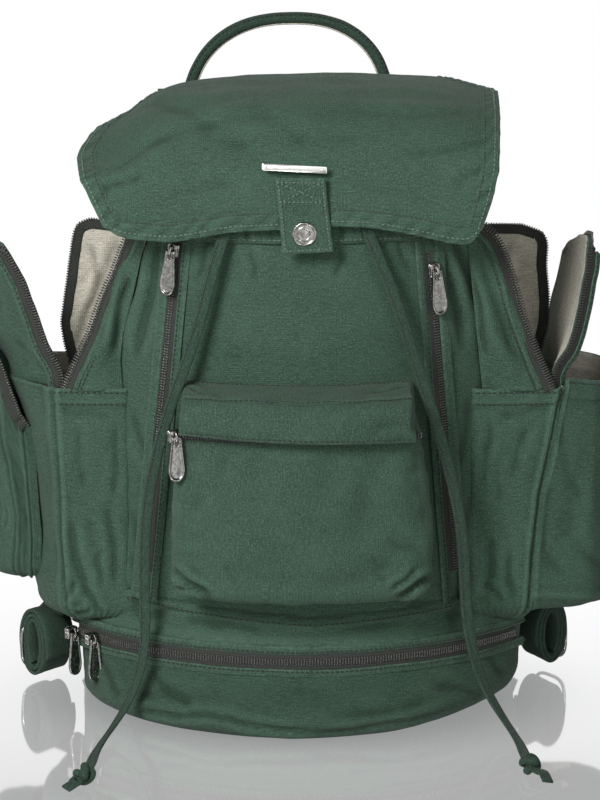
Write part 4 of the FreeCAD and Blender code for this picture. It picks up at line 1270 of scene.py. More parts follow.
def slider(name, origin, out, down, wide, long):
    """A zip slider: a waisted body with a domed top and a bail over it."""
    out, down, origin = (np.asarray(v, float) for v in (out, down, origin))
    across = np.cross(down, out)
    count = 48
    outline = []
    for a in np.linspace(0, 2 * math.pi, count, endpoint=False):
        x, y = math.cos(a), math.sin(a)
        x = abs(x) ** 0.55 * (1 if x > 0 else -1) * wide / 2
        y = abs(y) ** 0.55 * (1 if y > 0 else -1) * long / 2
        outline.append((x * (1 - 0.16 * bump(y, 0.6, long * 0.26)), y))
    outline = np.array(outline)
    rings = [(1.0, 0.3), (1.0, 1.3), (0.97, 1.6), (0.86, 1.75), (0.86, 2.2), (0.97, 2.4), (1.0, 2.8),
             (0.95, 3.5), (0.80, 3.95), (0.4, 4.15), (0.02, 4.2)]
    wide_way, long_way = outline[:, :1], outline[:, 1:]
    p = np.array([origin + wide_way * k * across + long_way * k * down + out * h for k, h in rings])
    faces = grid_faces(len(rings), count, True).tolist()
    faces.append(list(range(count))[::-1])
    body = mesh_object(name, p, faces)
    arch = spline([(-4.0, 3.6), (-3.6, 5.6), (-2.0, 6.9), (0, 7.2), (2.0, 6.9), (3.6, 5.6), (4.0, 3.6)], 26)
    way = [origin + down * y + out * h for y, h in arch]
    facing = [out + down * y * 0.08 for y, h in arch]
    bail = sweep(name + "_bail", way, open_oval(1.1, 0.55, 5.6, 9), facing)
    return join(name, [body, bail])


def zip_hardware(tag, pivot, axis, down, wide, long):
    """A slider and its pull for a zip whose pull hangs from a pivot. axis runs across the pull."""
    pivot, axis, down = (np.asarray(v, float) for v in (pivot, axis, down))
    axis, down = axis / np.linalg.norm(axis), down / np.linalg.norm(down)
    out = np.cross(axis, down)
    body = slider(tag + "_zip_slider", pivot - out * 5.5, out, down, wide, long)
    finish_piece(body, "old_metal", tag + "_slider", [tag + "_slider"])
    plate, rim, slot_shade = zip_pull(tag + "_zip_pull", pivot, out, down)
    finish_piece(join(tag + "_zip_pull", [plate, rim]), "old_metal", tag + "_pull", [tag + "_pull"])
    finish_piece(slot_shade, "coil", tag + "_pull")


def arc_path(radius, start, end, z, count=160):
    """Points and outward directions along a level arc of the pack's front."""
    a = np.radians(np.linspace(start, end, count))
    out = np.stack([np.sin(a), -np.cos(a), 0 * a], -1)
    return out * radius + (0, ARC_Y, 0) + np.array([0, 0, 1]) * (z + 0 * a)[:, None], out


def panel_path(x_top, z_top, x_low, z_low, lift):
    """Points and outward directions along a line down the main front panel."""
    x = np.linspace(x_top, x_low, 120)
    z = np.linspace(z_top, z_low, 120)
    r = front_radius(z) + lift
    y = ARC_Y - np.sqrt(r * r - x * x)
    return np.stack([x, y, z], -1), np.stack([x / r, (y - ARC_Y) / r, 0 * x], -1)


FRONT_ZIPS = (("front_zip_left", -83.5, 345.0, -109.0, (-87.59, -80.48, 338.09), (-0.8795, 0.4619, 0.1142),
               (-0.1069, 0.0422, -0.9934)),
              ("front_zip_right", 88.5, 336.0, 109.0, (93.01, -78.13, 324.09), (-0.8749, -0.4749, -0.0951),
               (0.0895, 0.0344, -0.9954)))


def build_front_zips():
    """The two long zips down the front, each on its tape between two folded edges."""
    parts = []
    for tag, x_top, z_top, x_low, pivot, axis, down in FRONT_ZIPS:
        path, out = panel_path(x_top, z_top, x_low, 108.0, 0.9)
        side = 1 if x_top > 0 else -1
        s = frames_along(path, out)[2]
        inward = -side if float(s[60, 0]) > 0 else side
        parts += [tape(tag + "_tape", path, out, 12.6, 0.0), coil(tag + "_coil", path, out, 4.6, 1.9, 0.6)]
        long_path, long_out = panel_path(x_top - side * 0.9, z_top + 14, x_low + side * 0.9, 86.0, 0.6)
        binding(tag + "_outer_edge", long_path, long_out, -inward * 6.1, 7.6, 0.9, 2.2, row=False, wave=0.3)
        binding(tag + "_inner_edge", long_path, long_out, inward * 8.6, 6.4, 0.4, 1.5, wave=0.3)
        zip_hardware(tag, pivot, axis, down, 9.0, 11.0)
    finish_piece(join("front_zip_coils", parts), "coil", "pack", ["front_zip_chains"])


def build_pocket_zip():
    """The zip across the top of the front pocket, under its storm cover."""
    path, out = arc_path(244.6, -19.5, 19.5, 219.6)
    zip_half("front_pocket", path, out, (5.6, 0.0), (3.6, 2.1, 0.5), replaces=["front_pocket_zip_chain"])
    zip_hardware("front_pocket_zip", (-83.2, -122.95, 219.0), (-0.9426, -0.3338, 0), (0, 0, -1), 11.0, 9.0)


def build_base_zip():
    """The zip round the base compartment, with its two sliders at the left end."""
    z = 52.4
    path, out = arc_path(212.5, -47.8, 45.8, z, 240)
    zip_half("base_zip", path, out, (12.6, 0.3), (5.0, 1.9, 0.9), replaces=["base_zip_chain"])
    path, out = arc_path(212.2, -49.5, 48.5, z, 240)
    upward = 1 if frames_along(path, out)[2][0, 2] > 0 else -1
    binding("base_zip_upper_edge", path, out, upward * 8.6, 6.4, 0.7, 2.2, wave=0.5)
    binding("base_zip_lower_edge", path, out, -upward * 8.4, 6.0, 0.7, 2.2, wave=0.5)
    zip_hardware("base_zip_front", (-145.45, -52.4, z), (-0.7490, -0.6626, 0), (0, 0, -1), 11.0, 9.0)
    zip_hardware("base_zip_rear", (-160.53, -37.7, z), (-0.6820, -0.7314, 0), (0, 0, -1), 11.0, 9.0)


# ---------------------------------------------------------------- side pockets, given for +X and mirrored

GUSSET_SEAM = {1: ([66, 118, 159, 199, 236], [161, 164, 168, 177, 183.5]),
               -1: ([66, 82, 125, 164, 224, 236], [165, 166, 168.6, 169.2, 172.3, 172.5])}
BAG_SIDE = {1: ([66, 130, 236], [174, 178, 185]),
            -1: ([66, 92, 130, 166, 205, 236], [184, 190, 188, 189, 195, 206])}
GUSSET_EDGE = {1: ([236, 258, 290, 320, 342, 352], [174, 164, 152, 143.4, 134.8, 124]),
               -1: ([236, 272, 308, 340, 352], [163, 146.3, 132.6, 119, 112])}
GUSSET_INNER = {1: ([236, 280, 312, 342], [129.5, 128, 122, 113]),
                -1: ([236, 265, 291, 342], [122.6, 125, 117, 106])}
DOOR_EDGE = {1: ([235, 261, 289, 319, 340], [175.5, 185.5, 192, 198, 199.7]),
             -1: ([235, 256, 292, 312, 340], [164.5, 172.5, 182.8, 190.7, 208])}
BAG_CREASES = {
    -1: [((-162, 138), (-150, 82), 3.6, 3.0), ((-158, 96), (-170, 78), 2.6, 3.4),
         ((-134, 150), (-130, 92), 3.6, 1.8), ((-152, 92), (-140, 72), 2.4, 3.2),
         ((-146, 76), (-160, 70), 2.0, 2.4), ((-128, 210), (-131, 150), 3.5, 1.1),
         ((-156, 214), (-152, 160), 4.0, 1.0), ((-166, 220), (-128, 214), 4.0, 0.6),
         ((-142, 120), (-140, 92), 3.0, 1.2)],
    1: [((136, 130), (133, 84), 3.6, 2.4), ((130, 96), (144, 82), 2.6, 2.2),
        ((146, 118), (150, 84), 3.2, 1.6),
        ((158, 214), (146, 168), 4.0, 1.1), ((132, 214), (129, 160), 3.6, 1.3),
        ((168, 222), (136, 214), 4.0, 0.6), ((140, 196), (138, 150), 4.2, 0.9)],
}


def plan_path(points, counts):
    """A level outline through corner points, with its own count of steps for each run."""
    rows = []
    for (a, b), count in zip(zip(points[:-1], points[1:]), counts):
        share = np.linspace(0, 1, count, endpoint=False)[:, None]
        rows.append(np.asarray(a, float) * (1 - share) + np.asarray(b, float) * share)
    rows.append(np.asarray(points[-1], float)[None, :])
    return np.vstack(rows)


def stacked(path_at, top, turn_z, turn_r, steps, close):
    """Rows of a pouch from its rim down, rolled under at its foot and closed across the bottom.

    path_at(z, shrink) gives the level outline.
    """
    heights = list(np.linspace(top, turn_z, steps))
    rows = [path_at(z, 0.0) for z in heights]
    for a in np.radians(np.linspace(9, 90, 10)):
        rows.append(path_at(turn_z, turn_r * (1 - math.cos(a))))
        heights.append(turn_z - turn_r * math.sin(a))
    for share in np.linspace(0.15, 1, 7):
        rows.append(path_at(turn_z, turn_r + share * close))
        heights.append(turn_z - turn_r)
    return np.array([np.hstack([row, np.full((len(row), 1), z)]) for row, z in zip(rows, heights)])


def to_side(p, side):
    return p * (side, 1, 1)


def side_name(side):
    return "right" if side > 0 else "left"


def column_numbers(p):
    """Each point's place along its row."""
    return np.broadcast_to(np.arange(p.shape[1])[None, :], p.shape[:2])


def build_side_bag(side):
    tag = side_name(side)
    name = "side_bag_" + tag
    counts = (30, 22, 22, 20, 12)

    def path_at(z, shrink):
        seam = np.interp(z, *GUSSET_SEAM[side]) - shrink
        belly = np.interp(z, *BAG_SIDE[side]) - shrink
        front, back = -52.5 + shrink, 60 - shrink
        body = math.sqrt(205.0 ** 2 - (ARC_Y - front) ** 2) - 3
        welt = min(body, 128.0)
        points = [(welt - 0.6, front + 3.5), (welt, front - 3.2), (seam, front - 0.8), (belly - 1, -20),
                  (belly, 12), (belly - 8, back), (149, back)]
        return plan_path(points, (4,) + counts)

    p = to_side(soften(stacked(path_at, 236.0, 81.0, 16.0, 80, 24.0), 4), side)
    u, v = cloth_lengths(p)
    columns = column_numbers(p) - 4
    front = smooth(counts[0] + 2, counts[0] - 3, columns)
    relief = clouds(u, v, (34, 44, 51 + side, 1.3), (12, 18, 8, 0.3))
    relief = relief + front * creases(p[..., 0], p[..., 2], BAG_CREASES[side])
    relief = relief + (1 - front) * 1.4 * np.sin(v / 26 + 2.2 * noise(u / 40, v / 50, 9)) * smooth(0, 30, v)
    relief = relief * smooth(0, 5, v)
    relief = relief - 2.6 * bump(columns, counts[0], 0.9) + 1.2 * bump(columns, counts[0] - 2.4, 1.2)
    relief = relief + 1.0 * bump(columns, counts[0] + 2.6, 1.5) + 0.9 * smooth(12, 10.5, v) * front
    pucker = np.sin(columns * 1.9 + 2 * noise(columns / 7.0, v / 16, 4))
    relief = relief + 0.4 * pucker * smooth(150, 166, v) * smooth(184, 174, v)
    wear = 0.8 * bump(v, 0, 1.8) + 0.6 * bump(columns, counts[0] - 2.2, 1.1) * front + 0.3 * bump(v, 11.3, 1)
    sheet_grid(name, p, u, v, relief, "pack", ["side_pocket_" + tag + "_bag"], wear=wear, thick=2.2,
               inside="lining")
    for k, row in enumerate((1.4, 5.6)):
        path, out = on_sheet(name, row, np.linspace(6, counts[0] + 2.5, 60))
        stitches(name + "_rim_" + str(k), path, out, "pack", "thread_dark")


def build_gusset(side):
    """The front wall of the opening, cut on a slant, with half of the zip on its edge."""
    tag = side_name(side)
    name = "gusset_" + tag
    z = np.linspace(234.5, 352, 66)
    inner = np.minimum(np.interp(z, *GUSSET_INNER[side]), half_width(z) - 4.0)
    edge = np.interp(z, *GUSSET_EDGE[side])
    edge = soften(edge[None, :, None], 10)[0, :, 0]
    share = np.linspace(0, 1, 34)
    x = inner[:, None] + (edge - inner)[:, None] * share[None, :]
    y_in = panel_y(inner, z) - 1.0
    y_edge = -53.0 - 3.0 * smooth(236, 330, z)
    y = y_in[:, None] + (y_edge - y_in)[:, None] * smooth(0, 0.55, share)[None, :]
    y = y - 3.2 * np.sin(share * math.pi)[None, :] * smooth(0, 30, edge - inner)[:, None]
    p = to_side(np.stack([x, y, np.broadcast_to(z[:, None], x.shape)], -1), side)
    u, v = side * x, p[..., 2]
    folds = [((side * 122, 330), (side * 148, 262), 4.0, 4.6),
             ((side * 118, 318), (side * 128, 262), 3.6, 5.2),
             ((side * 128, 300), (side * 156, 246), 4.5, 2.0)]
    relief = creases(p[..., 0], v, folds) + cloudy(u / 26, v / 26, 61) * 0.9
    relief = relief * smooth(0, 0.1, share)[None, :]
    wear = 0.4 * bump(share, 0.0, 0.06)[None, :] + 0.3 * bump(v, 236, 2)
    upper = ["side_pocket_" + tag + "_upper"]
    sheet_grid(name, p, u, v, relief, "pack", upper, wear=wear, thick=1.8, inside="lining")
    path, out = on_sheet(name, np.linspace(0, 65, 120), 33.0)
    s = frames_along(path, out)[2]
    inward = -1 if float(s[60, 0]) * side > 0 else 1
    tapes = ["side_pocket_zip_tapes"] if side > 0 else ()
    zip_half(name, path, out, (6.4, 0.5, inward * 1.9), (8.2, 1.9, 1.3, -inward * 0.6), replaces=tapes)
    stitch_path = path + s * inward * 10.5
    stitches(name + "_stitches", stitch_path[6:], out[6:], "pack", "thread_dark", 0.4)
    binding(name + "_edge", path[4:], out[4:], inward * 6.8, 3.4, 0.7, 1.4, row=False)


def build_lip(side):
    """The rear wall of the opening: lining to the front, dark tape and teeth round its edge."""
    tag = side_name(side)
    name = "lip_" + tag
    outer = {-1: ([0, 0.15, 0.3, 0.58, 0.9, 1.0], [165, 168.5, 170.5, 166, 161.5, 159]),
             1: ([0, 0.3, 0.5, 0.75, 0.92, 1.0], [170, 177, 177.5, 175, 176, 173])}[side]
    top = {-1: ([0, 0.3, 0.75, 1.0], [336, 338, 340, 336]),
           1: ([0, 0.3, 0.7, 1.0], [333, 336.5, 336, 330])}[side]
    up = np.linspace(0, 1, 60)
    share = np.linspace(0, 1, 34)
    edge = np.interp(up, *outer)
    edge = soften(edge[None, :, None], 6)[0, :, 0]
    z = 236 + (np.interp(share, *top)[None, :] - 236) * up[:, None]
    inner = half_width(z) - 1.0
    x = inner + (edge[:, None] - inner) * share[None, :]
    belly = 3.5 * np.sin(share * math.pi)[None, :]
    y = 24.0 + belly + 5 * smooth(0.5, 1, share)[None, :] * smooth(0.4, 1, up)[:, None]
    p = to_side(np.stack([x, y + 0 * x, z], -1), side)
    folds = [((side * 128, 326), (side * 156, 262), 4.0, 2.6),
             ((side * 150, 322), (side * 136, 276), 3.4, 1.8),
             ((side * 140, 300), (side * 160, 248), 3.2, 1.8)]
    relief = creases(p[..., 0], z, folds) + cloudy(x / 20, z / 22, 71) * 1.3
    upper = ["side_pocket_" + tag + "_upper"]
    sheet_grid(name, p, side * x, z, relief, "pack", upper, thick=2.0, inside="canvas", cloth="lining")
    rows = np.concatenate([np.linspace(0, 56, 110), np.linspace(57, 58.5, 6), np.full(60, 58.5)])
    columns = np.concatenate([np.full(110, 32.6), np.linspace(32.2, 30.5, 6), np.linspace(30, 1, 60)])
    path, out = on_sheet(name, rows, columns)
    s = frames_along(path, out)[2]
    toward = np.array([side * 138.0, 25.0, 280.0]) - path[60]
    inward = 1 if float(np.dot(s[60], toward)) > 0 else -1
    zip_half(name, path, out, (7.0, 0.6, inward * 2.4), (3.9, 1.8, 0.8, -inward))


def build_door(side):
    """The outer wall above the bag, folded out with its canvas away from the pack."""
    tag = side_name(side)
    name = "door_" + tag
    up = np.linspace(0, 1, 64)
    share = np.linspace(0, 1, 44)
    z_top = {1: ([0, 0.15, 0.5, 0.85, 1.0], [336, 339, 334, 322, 312]),
             -1: ([0, 0.15, 0.5, 0.85, 1.0], [336, 340, 340, 334, 324])}[side]
    z = 235 + (np.interp(share, *z_top)[None, :] - 235) * up[:, None]
    front = np.interp(z, *DOOR_EDGE[side])
    if side < 0:
        middle = (227.0 - front) * (np.sin(share * math.pi / 1.3) ** 0.8)[None, :]
    else:
        middle = (2 * np.sin(share * math.pi) - 5 * smooth(0.2, 1, share))[None, :]
    hinge = np.interp(share, [0, 0.3, 0.65, 1.0], {1: [175, 184, 183, 174], -1: [165, 203, 208, 190]}[side])
    x = front + middle
    settle = smooth(0, 0.35, up)[:, None]
    x = hinge[None, :] * (1 - settle) + x * settle
    y = -49 + 103 * share[None, :] + 0 * x
    p = soften(soften(to_side(np.stack([x, y, z], -1), side), 3), 3, 0)
    u, v = cloth_lengths(p)
    relief = clouds(u, v, (26, 30, 81 + side, 1.5), (11, 14, 4, 0.35)) * smooth(0, 12, v)
    wear = 0.5 * bump(v, v[-1:, :], 2.0) + 0.3 * bump(share, 0.02, 0.03)[None, :]
    pieces = [sheet_grid(name, p, u, v, relief, name, ["side_pocket_" + tag + "_door"], out=(side, 0, 0),
                         wear=wear, thick=2.0, inside="lining", ride=False)]
    rows = np.concatenate([np.linspace(0, 59, 110), np.linspace(60, 62.4, 8), np.full(70, 62.6)])
    columns = np.concatenate([np.full(110, 0.4), np.linspace(0.6, 2.4, 8), np.linspace(3, 42, 70)])
    path, out = on_sheet(name, rows, columns)
    face_out = out * 0.45 + np.array([side * 0.25, -1, 0.1])
    s = frames_along(path, face_out)[2]
    toward = np.array([side * 208.0, 0.0, 285.0]) - path[60]
    outward = 1 if float(np.dot(s[60], toward)) > 0 else -1
    pieces.append(zip_half(name, path, face_out, (6.4, 1.2, outward * 1.9), (8.2, 1.9, 1.9, -outward * 0.6),
                           name, ["side_pocket_" + tag + "_zip_door"], ride=False))
    pieces += binding(name + "_edge", path[:112], face_out[:112], outward * 7.4, 4.6, 1.2, 1.5, name,
                      ride=False)
    for piece in pieces:
        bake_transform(piece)


def build_outer_pocket():
    """The small zipped pocket outside the left side pocket."""
    counts = (16, 14, 12, 20, 12, 14)
    seam = ([86, 119, 166, 203, 240], [191, 189.5, 192, 193.4, 195])
    front_seam = ([86, 100, 138, 172, 192, 240], [204, 204, 201, 206, 211, 213])

    def path_at(z, shrink):
        a = np.interp(z, *seam)
        b = np.interp(z, *front_seam) - shrink * 0.6
        front, back = -30 + shrink, 48 - shrink
        return plan_path([(a - 6, front + 3), (a, front), (b, front - 1.5),
                          (b + 14 - shrink * 0.4, front + 7),
                          (229 - shrink, -6), (229 - shrink, 30), (176, back)], counts)

    p = soften(stacked(path_at, 233.0, 102.0, 12.0, 70, 20.0), 4)
    top = np.interp(p[..., 0], [185, 192, 198, 204, 210, 222, 232], [200, 203, 213, 231, 250, 266, 268])
    share = smooth(150, 233, p[..., 2])
    p[..., 2] = p[..., 2] * (1 - share) + (150 + (top - 150) * (p[..., 2] - 150) / 83) * share
    p = to_side(p, -1)
    u, v = cloth_lengths(p)
    columns = column_numbers(p)
    first, second = counts[0], counts[0] + counts[1]
    relief = clouds(u, v, (28, 36, 91, 1.4), (11, 15, 3, 0.3)) * smooth(0, 6, v)
    relief = relief - 1.4 * bump(columns, first, 1.1) + 1.0 * bump(columns, first + 2, 1.1)
    relief = relief - 1.4 * bump(columns, second, 1.1) + 1.0 * bump(columns, second - 2.2, 1.1)
    pucker = np.sin(columns * 1.7 + 2 * noise(columns / 6.0, v / 14, 2))
    relief = relief + 0.4 * pucker * smooth(100, 122, v) * smooth(146, 132, v)
    wear = 0.5 * bump(v, 0, 2) + 0.5 * bump(columns, first + 2, 1)
    name = "outer_pocket"
    # the inside wears the darker canvas copy, painted shade inside the pocket
    sheet_grid(name, p, u, v, relief, "pack", ["outer_pocket_left"], wear=wear, thick=2.2,
               inside="canvas_painted_shade")
    path, out = on_sheet(name, 0.6, np.linspace(10, 52, 70))
    lower = 1 if frames_along(path, out)[2][20, 2] < 0 else -1
    chain = ["outer_pocket_zip_chain"]
    zip_half(name, path, out, (7.4, 0.6, lower * 2.4), (4.4, 1.9, 1.0, -lower), replaces=chain)
    path, out = on_sheet(name, 9.0, np.linspace(17, 52, 40))
    stitches("outer_pocket_stitches", path, out, "pack", "thread_dark")


def build_sleeve():
    """The open bottle sleeve outside the right side pocket; its front runs into the gusset's seam."""
    counts = (34, 18, 20, 16, 24)

    def path_at(z, shrink):
        seam = np.interp(z, *GUSSET_SEAM[1]) + 0.6 - shrink * 0.2
        front, back = -52.0 + shrink, 46 - shrink
        return plan_path([(seam, front), (206 - shrink * 0.5, front + 9), (229 - shrink, -16),
                          (229 - shrink, 26), (214 - shrink, back), (172, back)], counts)

    p = soften(stacked(path_at, 240.0, 85.0, 14.0, 76, 24.0), 12)
    top = np.interp(p[..., 0], [180, 186, 208, 231], [238, 243, 238.5, 234])
    share = smooth(180, 240, p[..., 2])
    p[..., 2] = p[..., 2] + (top - 240) * share
    u, v = cloth_lengths(p)
    columns = column_numbers(p)
    folds = [((176, 226), (196, 150), 5.0, 1.4), ((204, 200), (186, 120), 6.0, 1.3),
             ((190, 130), (214, 96), 5.0, 1.3), ((164, 150), (182, 96), 5.0, 1.4)]
    relief = clouds(u, v, (36, 46, 95, 1.6), (12, 17, 5, 0.3)) + creases(p[..., 0], p[..., 2], folds)
    relief = relief * smooth(0, 6, v) * smooth(0, 5, columns)
    relief = relief + 0.8 * smooth(14, 12.4, v) + 0.8 * bump(columns, 3, 1.6)
    relief = relief + 0.8 * bump(v, 158, 2.5)
    wear = 0.8 * bump(v, 0, 1.8) + 0.6 * bump(columns, 3, 1.2) + 0.3 * bump(v, 158, 2)
    sheet_grid("sleeve", p, u, v, relief, "pack", ["bottle_sleeve_right"], wear=wear, thick=2.2,
               inside="lining")
    path, out = on_sheet("sleeve", 1.4, np.linspace(4, 108, 110))
    stitches("sleeve_stitches", path, out, "pack", "thread_dark")


def build_sides():
    for side in (-1, 1):
        build_side_bag(side)
        build_gusset(side)
        build_lip(side)
        build_door(side)
    build_outer_pocket()
    build_sleeve()


# ---------------------------------------------------------------- carrying loop, straps and rolled tails

def build_haul_loop():
    """A rolled canvas handle with its raw edge turned to the underside, on two sewn patches."""
    count = 120
    angle = np.linspace(-8, 188, count)
    c, s = np.cos(np.radians(angle)), np.sin(np.radians(angle))
    x = -9.0 + 72.6 * np.sign(c) * np.abs(c) ** 0.86
    rise = 63.3 * np.sign(s) * np.abs(s) ** 0.92
    path = np.stack([x, 95 + rise * 0.20, 410 + rise + 3.0 * c], -1)
    out = np.stack([c, 0 * c, np.abs(s) + 0.2], -1)
    wobble = 1 + 0.05 * noise(np.arange(count) / 6.0, np.zeros(count), 3)
    loop = swept_piece("carry_loop", path, oval(9.6, 8.4, 16), out, "strap_cloth", "haul_loop", ["haul_loop"],
                       False, scale=wobble)
    inside = path - out / np.linalg.norm(out, axis=1, keepdims=True) * 4.3
    under = swept_piece("carry_loop_edge", inside, oval(3.4, 1.6, 10), out, "lining", "haul_loop", ride=False)
    _, o, side = frames_along(path, out)
    seam = path + o * 2.8 - side * 4.3
    row = stitches("carry_loop_stitches", seam, -side, "haul_loop", "thread_dark", 0.1, ride=False)
    for piece in (loop, under, row):
        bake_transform(piece)
    for k, middle in enumerate((-76.5, 59.5)):
        loop_patch("loop_patch_" + str(k), middle, ["haul_loop_patches"] if k == 0 else ())


def loop_patch(name, middle, replaces):
    """A square of cloth sewn to the back panel over one end of the carrying loop."""
    low, high, half = 384, 405, 10
    x, z = np.meshgrid(np.linspace(middle + half, middle - half, 20), np.linspace(low, high, 22))
    p = np.stack([x, np.full(x.shape, 87.2), z], -1)
    edge = np.minimum(half - np.abs(x - middle), np.minimum(z - low, high - z))
    relief = 0.8 * smooth(0, 1.5, edge) - 0.5 * bump(edge, 2.5, 0.8)
    sheet_grid(name, p, x, z, relief, "pack", replaces, out=(0, 1, 0), thick=1.6, cloth="strap_cloth")
    line, facing = on_sheet(name, *box_row((2, 19), (2, 17), (20, 18)))
    stitches(name + "_stitches", line, facing, "pack", "thread", 0.1, 2.6, 1.9)


def strap_axes(side):
    top, low = np.array([side * 45.0, 93, 384]), np.array([side * 150.0, 89, 36])
    down = (low - top) / np.linalg.norm(low - top)
    out = np.array([0, 1.0, 0])
    out = out - down * float(out @ down)
    out /= np.linalg.norm(out)
    return top, down, out


def strap_line(side, points, count):
    top, down, out = strap_axes(side)
    flat = spline(points, count)
    return top + flat[:, :1] * down + flat[:, 1:] * out


def padded_section(half, thick):
    """A pad's section: full in the middle, thin at its bound edges."""
    top, bottom = [], []
    for k in np.linspace(-1, 1, 34):
        swell = 1.3 if abs(k) > 0.88 else (1 - abs(k) ** 3.2) * thick / 2 + 0.9
        top.append((k * half, swell))
        bottom.append((k * half, -swell * 0.85))
    return bottom + top[::-1]


def build_strap_pad(side, tag, body, out):
    """The padded part with its bound edges and stitches, and the tongue that holds its top."""
    pad = strap_line(side, [(16, 20.5), (40, 30.5), (60, 38.5), (90, 43.6), (120, 45.8), (155, 44),
                            (190, 40.5), (225, 34), (252, 28.5)], 130)
    widths = np.interp(np.linspace(0, 1, 130), [0, 0.05, 0.1, 0.9, 0.96, 1], [0.62, 0.86, 1, 1, 0.86, 0.62])
    strap = swept_piece("pad_" + tag, pad, padded_section(27, 8.6), out, "pad_cloth", body,
                        ["shoulder_strap_" + tag], scale=widths)
    _, o, s = frames_along(pad, out)
    for k, way in enumerate((-1, 1)):
        edge = pad + s * way * (25.2 * widths)[:, None]
        swept_piece("pad_" + tag + "_binding_" + str(k), edge, oval(3.8, 3.6, 10), o, "strap_cloth", body)
        line = pad + s * way * (21.5 * widths)[:, None] + o * 3.4
        stitches("pad_" + tag + "_stitches_" + str(k), line, o, body)
    tongue = strap_line(side, [(-1, 4.5), (8, 12), (19, 20.5), (34, 29.5)], 30)
    swept_piece("tongue_" + tag, tongue, flat_section(28, 5.0), out, "strap_cloth", body)


def build_webbing(side, tag, body, out):
    """The webbing from the ladder lock down to the lower corner, with a woven rib along each edge."""
    line = strap_line(side, [(246, 31), (262, 27), (285, 22.8), (310, 18.4), (345, 11.5), (376, 4.4)], 90)
    swept_piece("webbing_" + tag, line, flat_section(25, 2.3), out, "strap_cloth", body,
                ["strap_webbing_" + tag])
    _, o, s = frames_along(line, out)
    for k, way in enumerate((-9.5, 9.5)):
        rib = line + s * way + o * 1.1
        stitches("webbing_" + tag + "_rib_" + str(k), rib, o, body, "thread_dark", 0.0, 2.0, 1.9)


def build_ladder_lock(tag, body, top, down, out):
    """Three bars between two side rails."""
    across = np.cross(out, down)
    bars = []
    for u, v in ((254.6, 31.0), (265.0, 29.4), (275.4, 27.6)):
        line = [top + down * u + out * v + across * k for k in np.linspace(-15.5, 15.5, 14)]
        bars.append(sweep("lock_bar_" + tag + str(u), line, oval(3.4, 2.8, 10), out))
    for way in (-1, 1):
        line = [top + down * (253.6 + 22.8 * k) + out * (31.2 - 3.8 * k) + across * way * 15.6
                for k in np.linspace(0, 1, 16)]
        bars.append(sweep("lock_side_" + tag + str(way), line, oval(3.2, 3.2, 10), out))
    finish_piece(join("ladder_lock_frame_" + tag, bars), "old_metal", body, ["ladder_lock_" + tag])


def build_shoulder_straps():
    for side in (-1, 1):
        tag = side_name(side)
        body = "strap_" + tag
        top, down, out = strap_axes(side)
        build_strap_pad(side, tag, body, out)
        build_webbing(side, tag, body, out)
        build_ladder_lock(tag, body, top, down, out)


def build_tails():
    """Spare webbing rolled into a flat coil at each lower corner, with a wire slide round it."""
    for side in (-1, 1):
        tag = side_name(side)
        turns, count = 2.75, 220
        a = np.linspace(0, 2 * math.pi * turns, count)
        grow = np.linspace(0, 1, count)
        half_w = 5.0 + (10.0 if side < 0 else 9.0) * grow
        centre, depth = (186.0, 20.0) if side < 0 else (178.5, 40.0)
        wind = a - 1.2
        x = half_w * np.cos(wind)
        z = (29.0 if side < 0 else 31.5) + (half_w + 11.0) * np.sin(wind)
        turn = math.radians(42 if side < 0 else 30)
        path = to_side(np.stack([centre + x * math.cos(turn), depth + x * math.sin(turn), z], -1), side)
        out = path - to_side(np.array([centre, depth, 29.0]), side) + 0.01
        swept_piece("tail_roll_" + tag, path, flat_section(27, 2.7), out, "strap_cloth", "pack",
                    ["strap_tail_" + tag])
        stub = spline([(155, 48, 58), (164, depth + 16, 60), (173, depth + 6, 59), (182, depth - 2, 51)], 24)
        swept_piece("tail_stub_" + tag, to_side(stub, side), flat_section(26, 2.7), (0, 0, 1), "strap_cloth")
        ring = []
        for k in range(72):
            b = 2 * math.pi * k / 72
            c, s = math.cos(b), math.sin(b)
            ring.append((centre + 7.5 - 10 * c * abs(c) ** -0.4 if abs(c) > 1e-6 else centre + 7.5,
                         depth + 9 + 12.5 * np.sign(c) * abs(c) ** 0.6, 25 + 17 * np.sign(s) * abs(s) ** 0.6))
        ring = to_side(np.array(ring + ring[:1]), side)
        slides = ["strap_tail_slides"] if side > 0 else ()
        swept_piece("tail_slide_" + tag, ring, oval(2.6, 2.6, 10), (side, 0, 0), "old_metal", "pack", slides,
                    caps=False)


# ---------------------------------------------------------------- floor, light and camera

def build_floor():
    """Glossy white board: its own glowing white under a sharp reflection, with a soft painted shade in that
    glow where the pack rests.
    """
    m = new_material("floor")
    far = m.add("ShaderNodeVectorMath", {0: m.scaled(m.place("Object"), (1.0, 1.45, 1))}, operation="LENGTH")
    # painted shade: the glow turns grey near the pack and white further out
    shade = m.steps(far.outputs["Value"], 0.13, 0.24)
    soft = m.add("ShaderNodeLightPath").outputs["Is Diffuse Ray"]
    strength = m.math("SUBTRACT", 1.0, m.math("MULTIPLY", soft, 0.8))
    glow = m.add("ShaderNodeEmission", {0: m.mix(shade, (0.70, 0.71, 0.72), (1, 1, 1)), 1: strength})
    shine = m.add("ShaderNodeBsdfGlossy", {"Color": (1, 1, 1, 1), "Roughness": 0.05})
    both = m.add("ShaderNodeMixShader", {0: 0.60, 1: glow.outputs[0], 2: shine.outputs[0]})
    m.link(both.outputs[0], m.first("OUTPUT_MATERIAL").inputs[0])
    bpy.ops.mesh.primitive_plane_add(size=14, location=(0, 0, -0.0004))
    floor = bpy.context.active_object
    floor.name = "floor"
    floor.data.materials.append(m.owner)


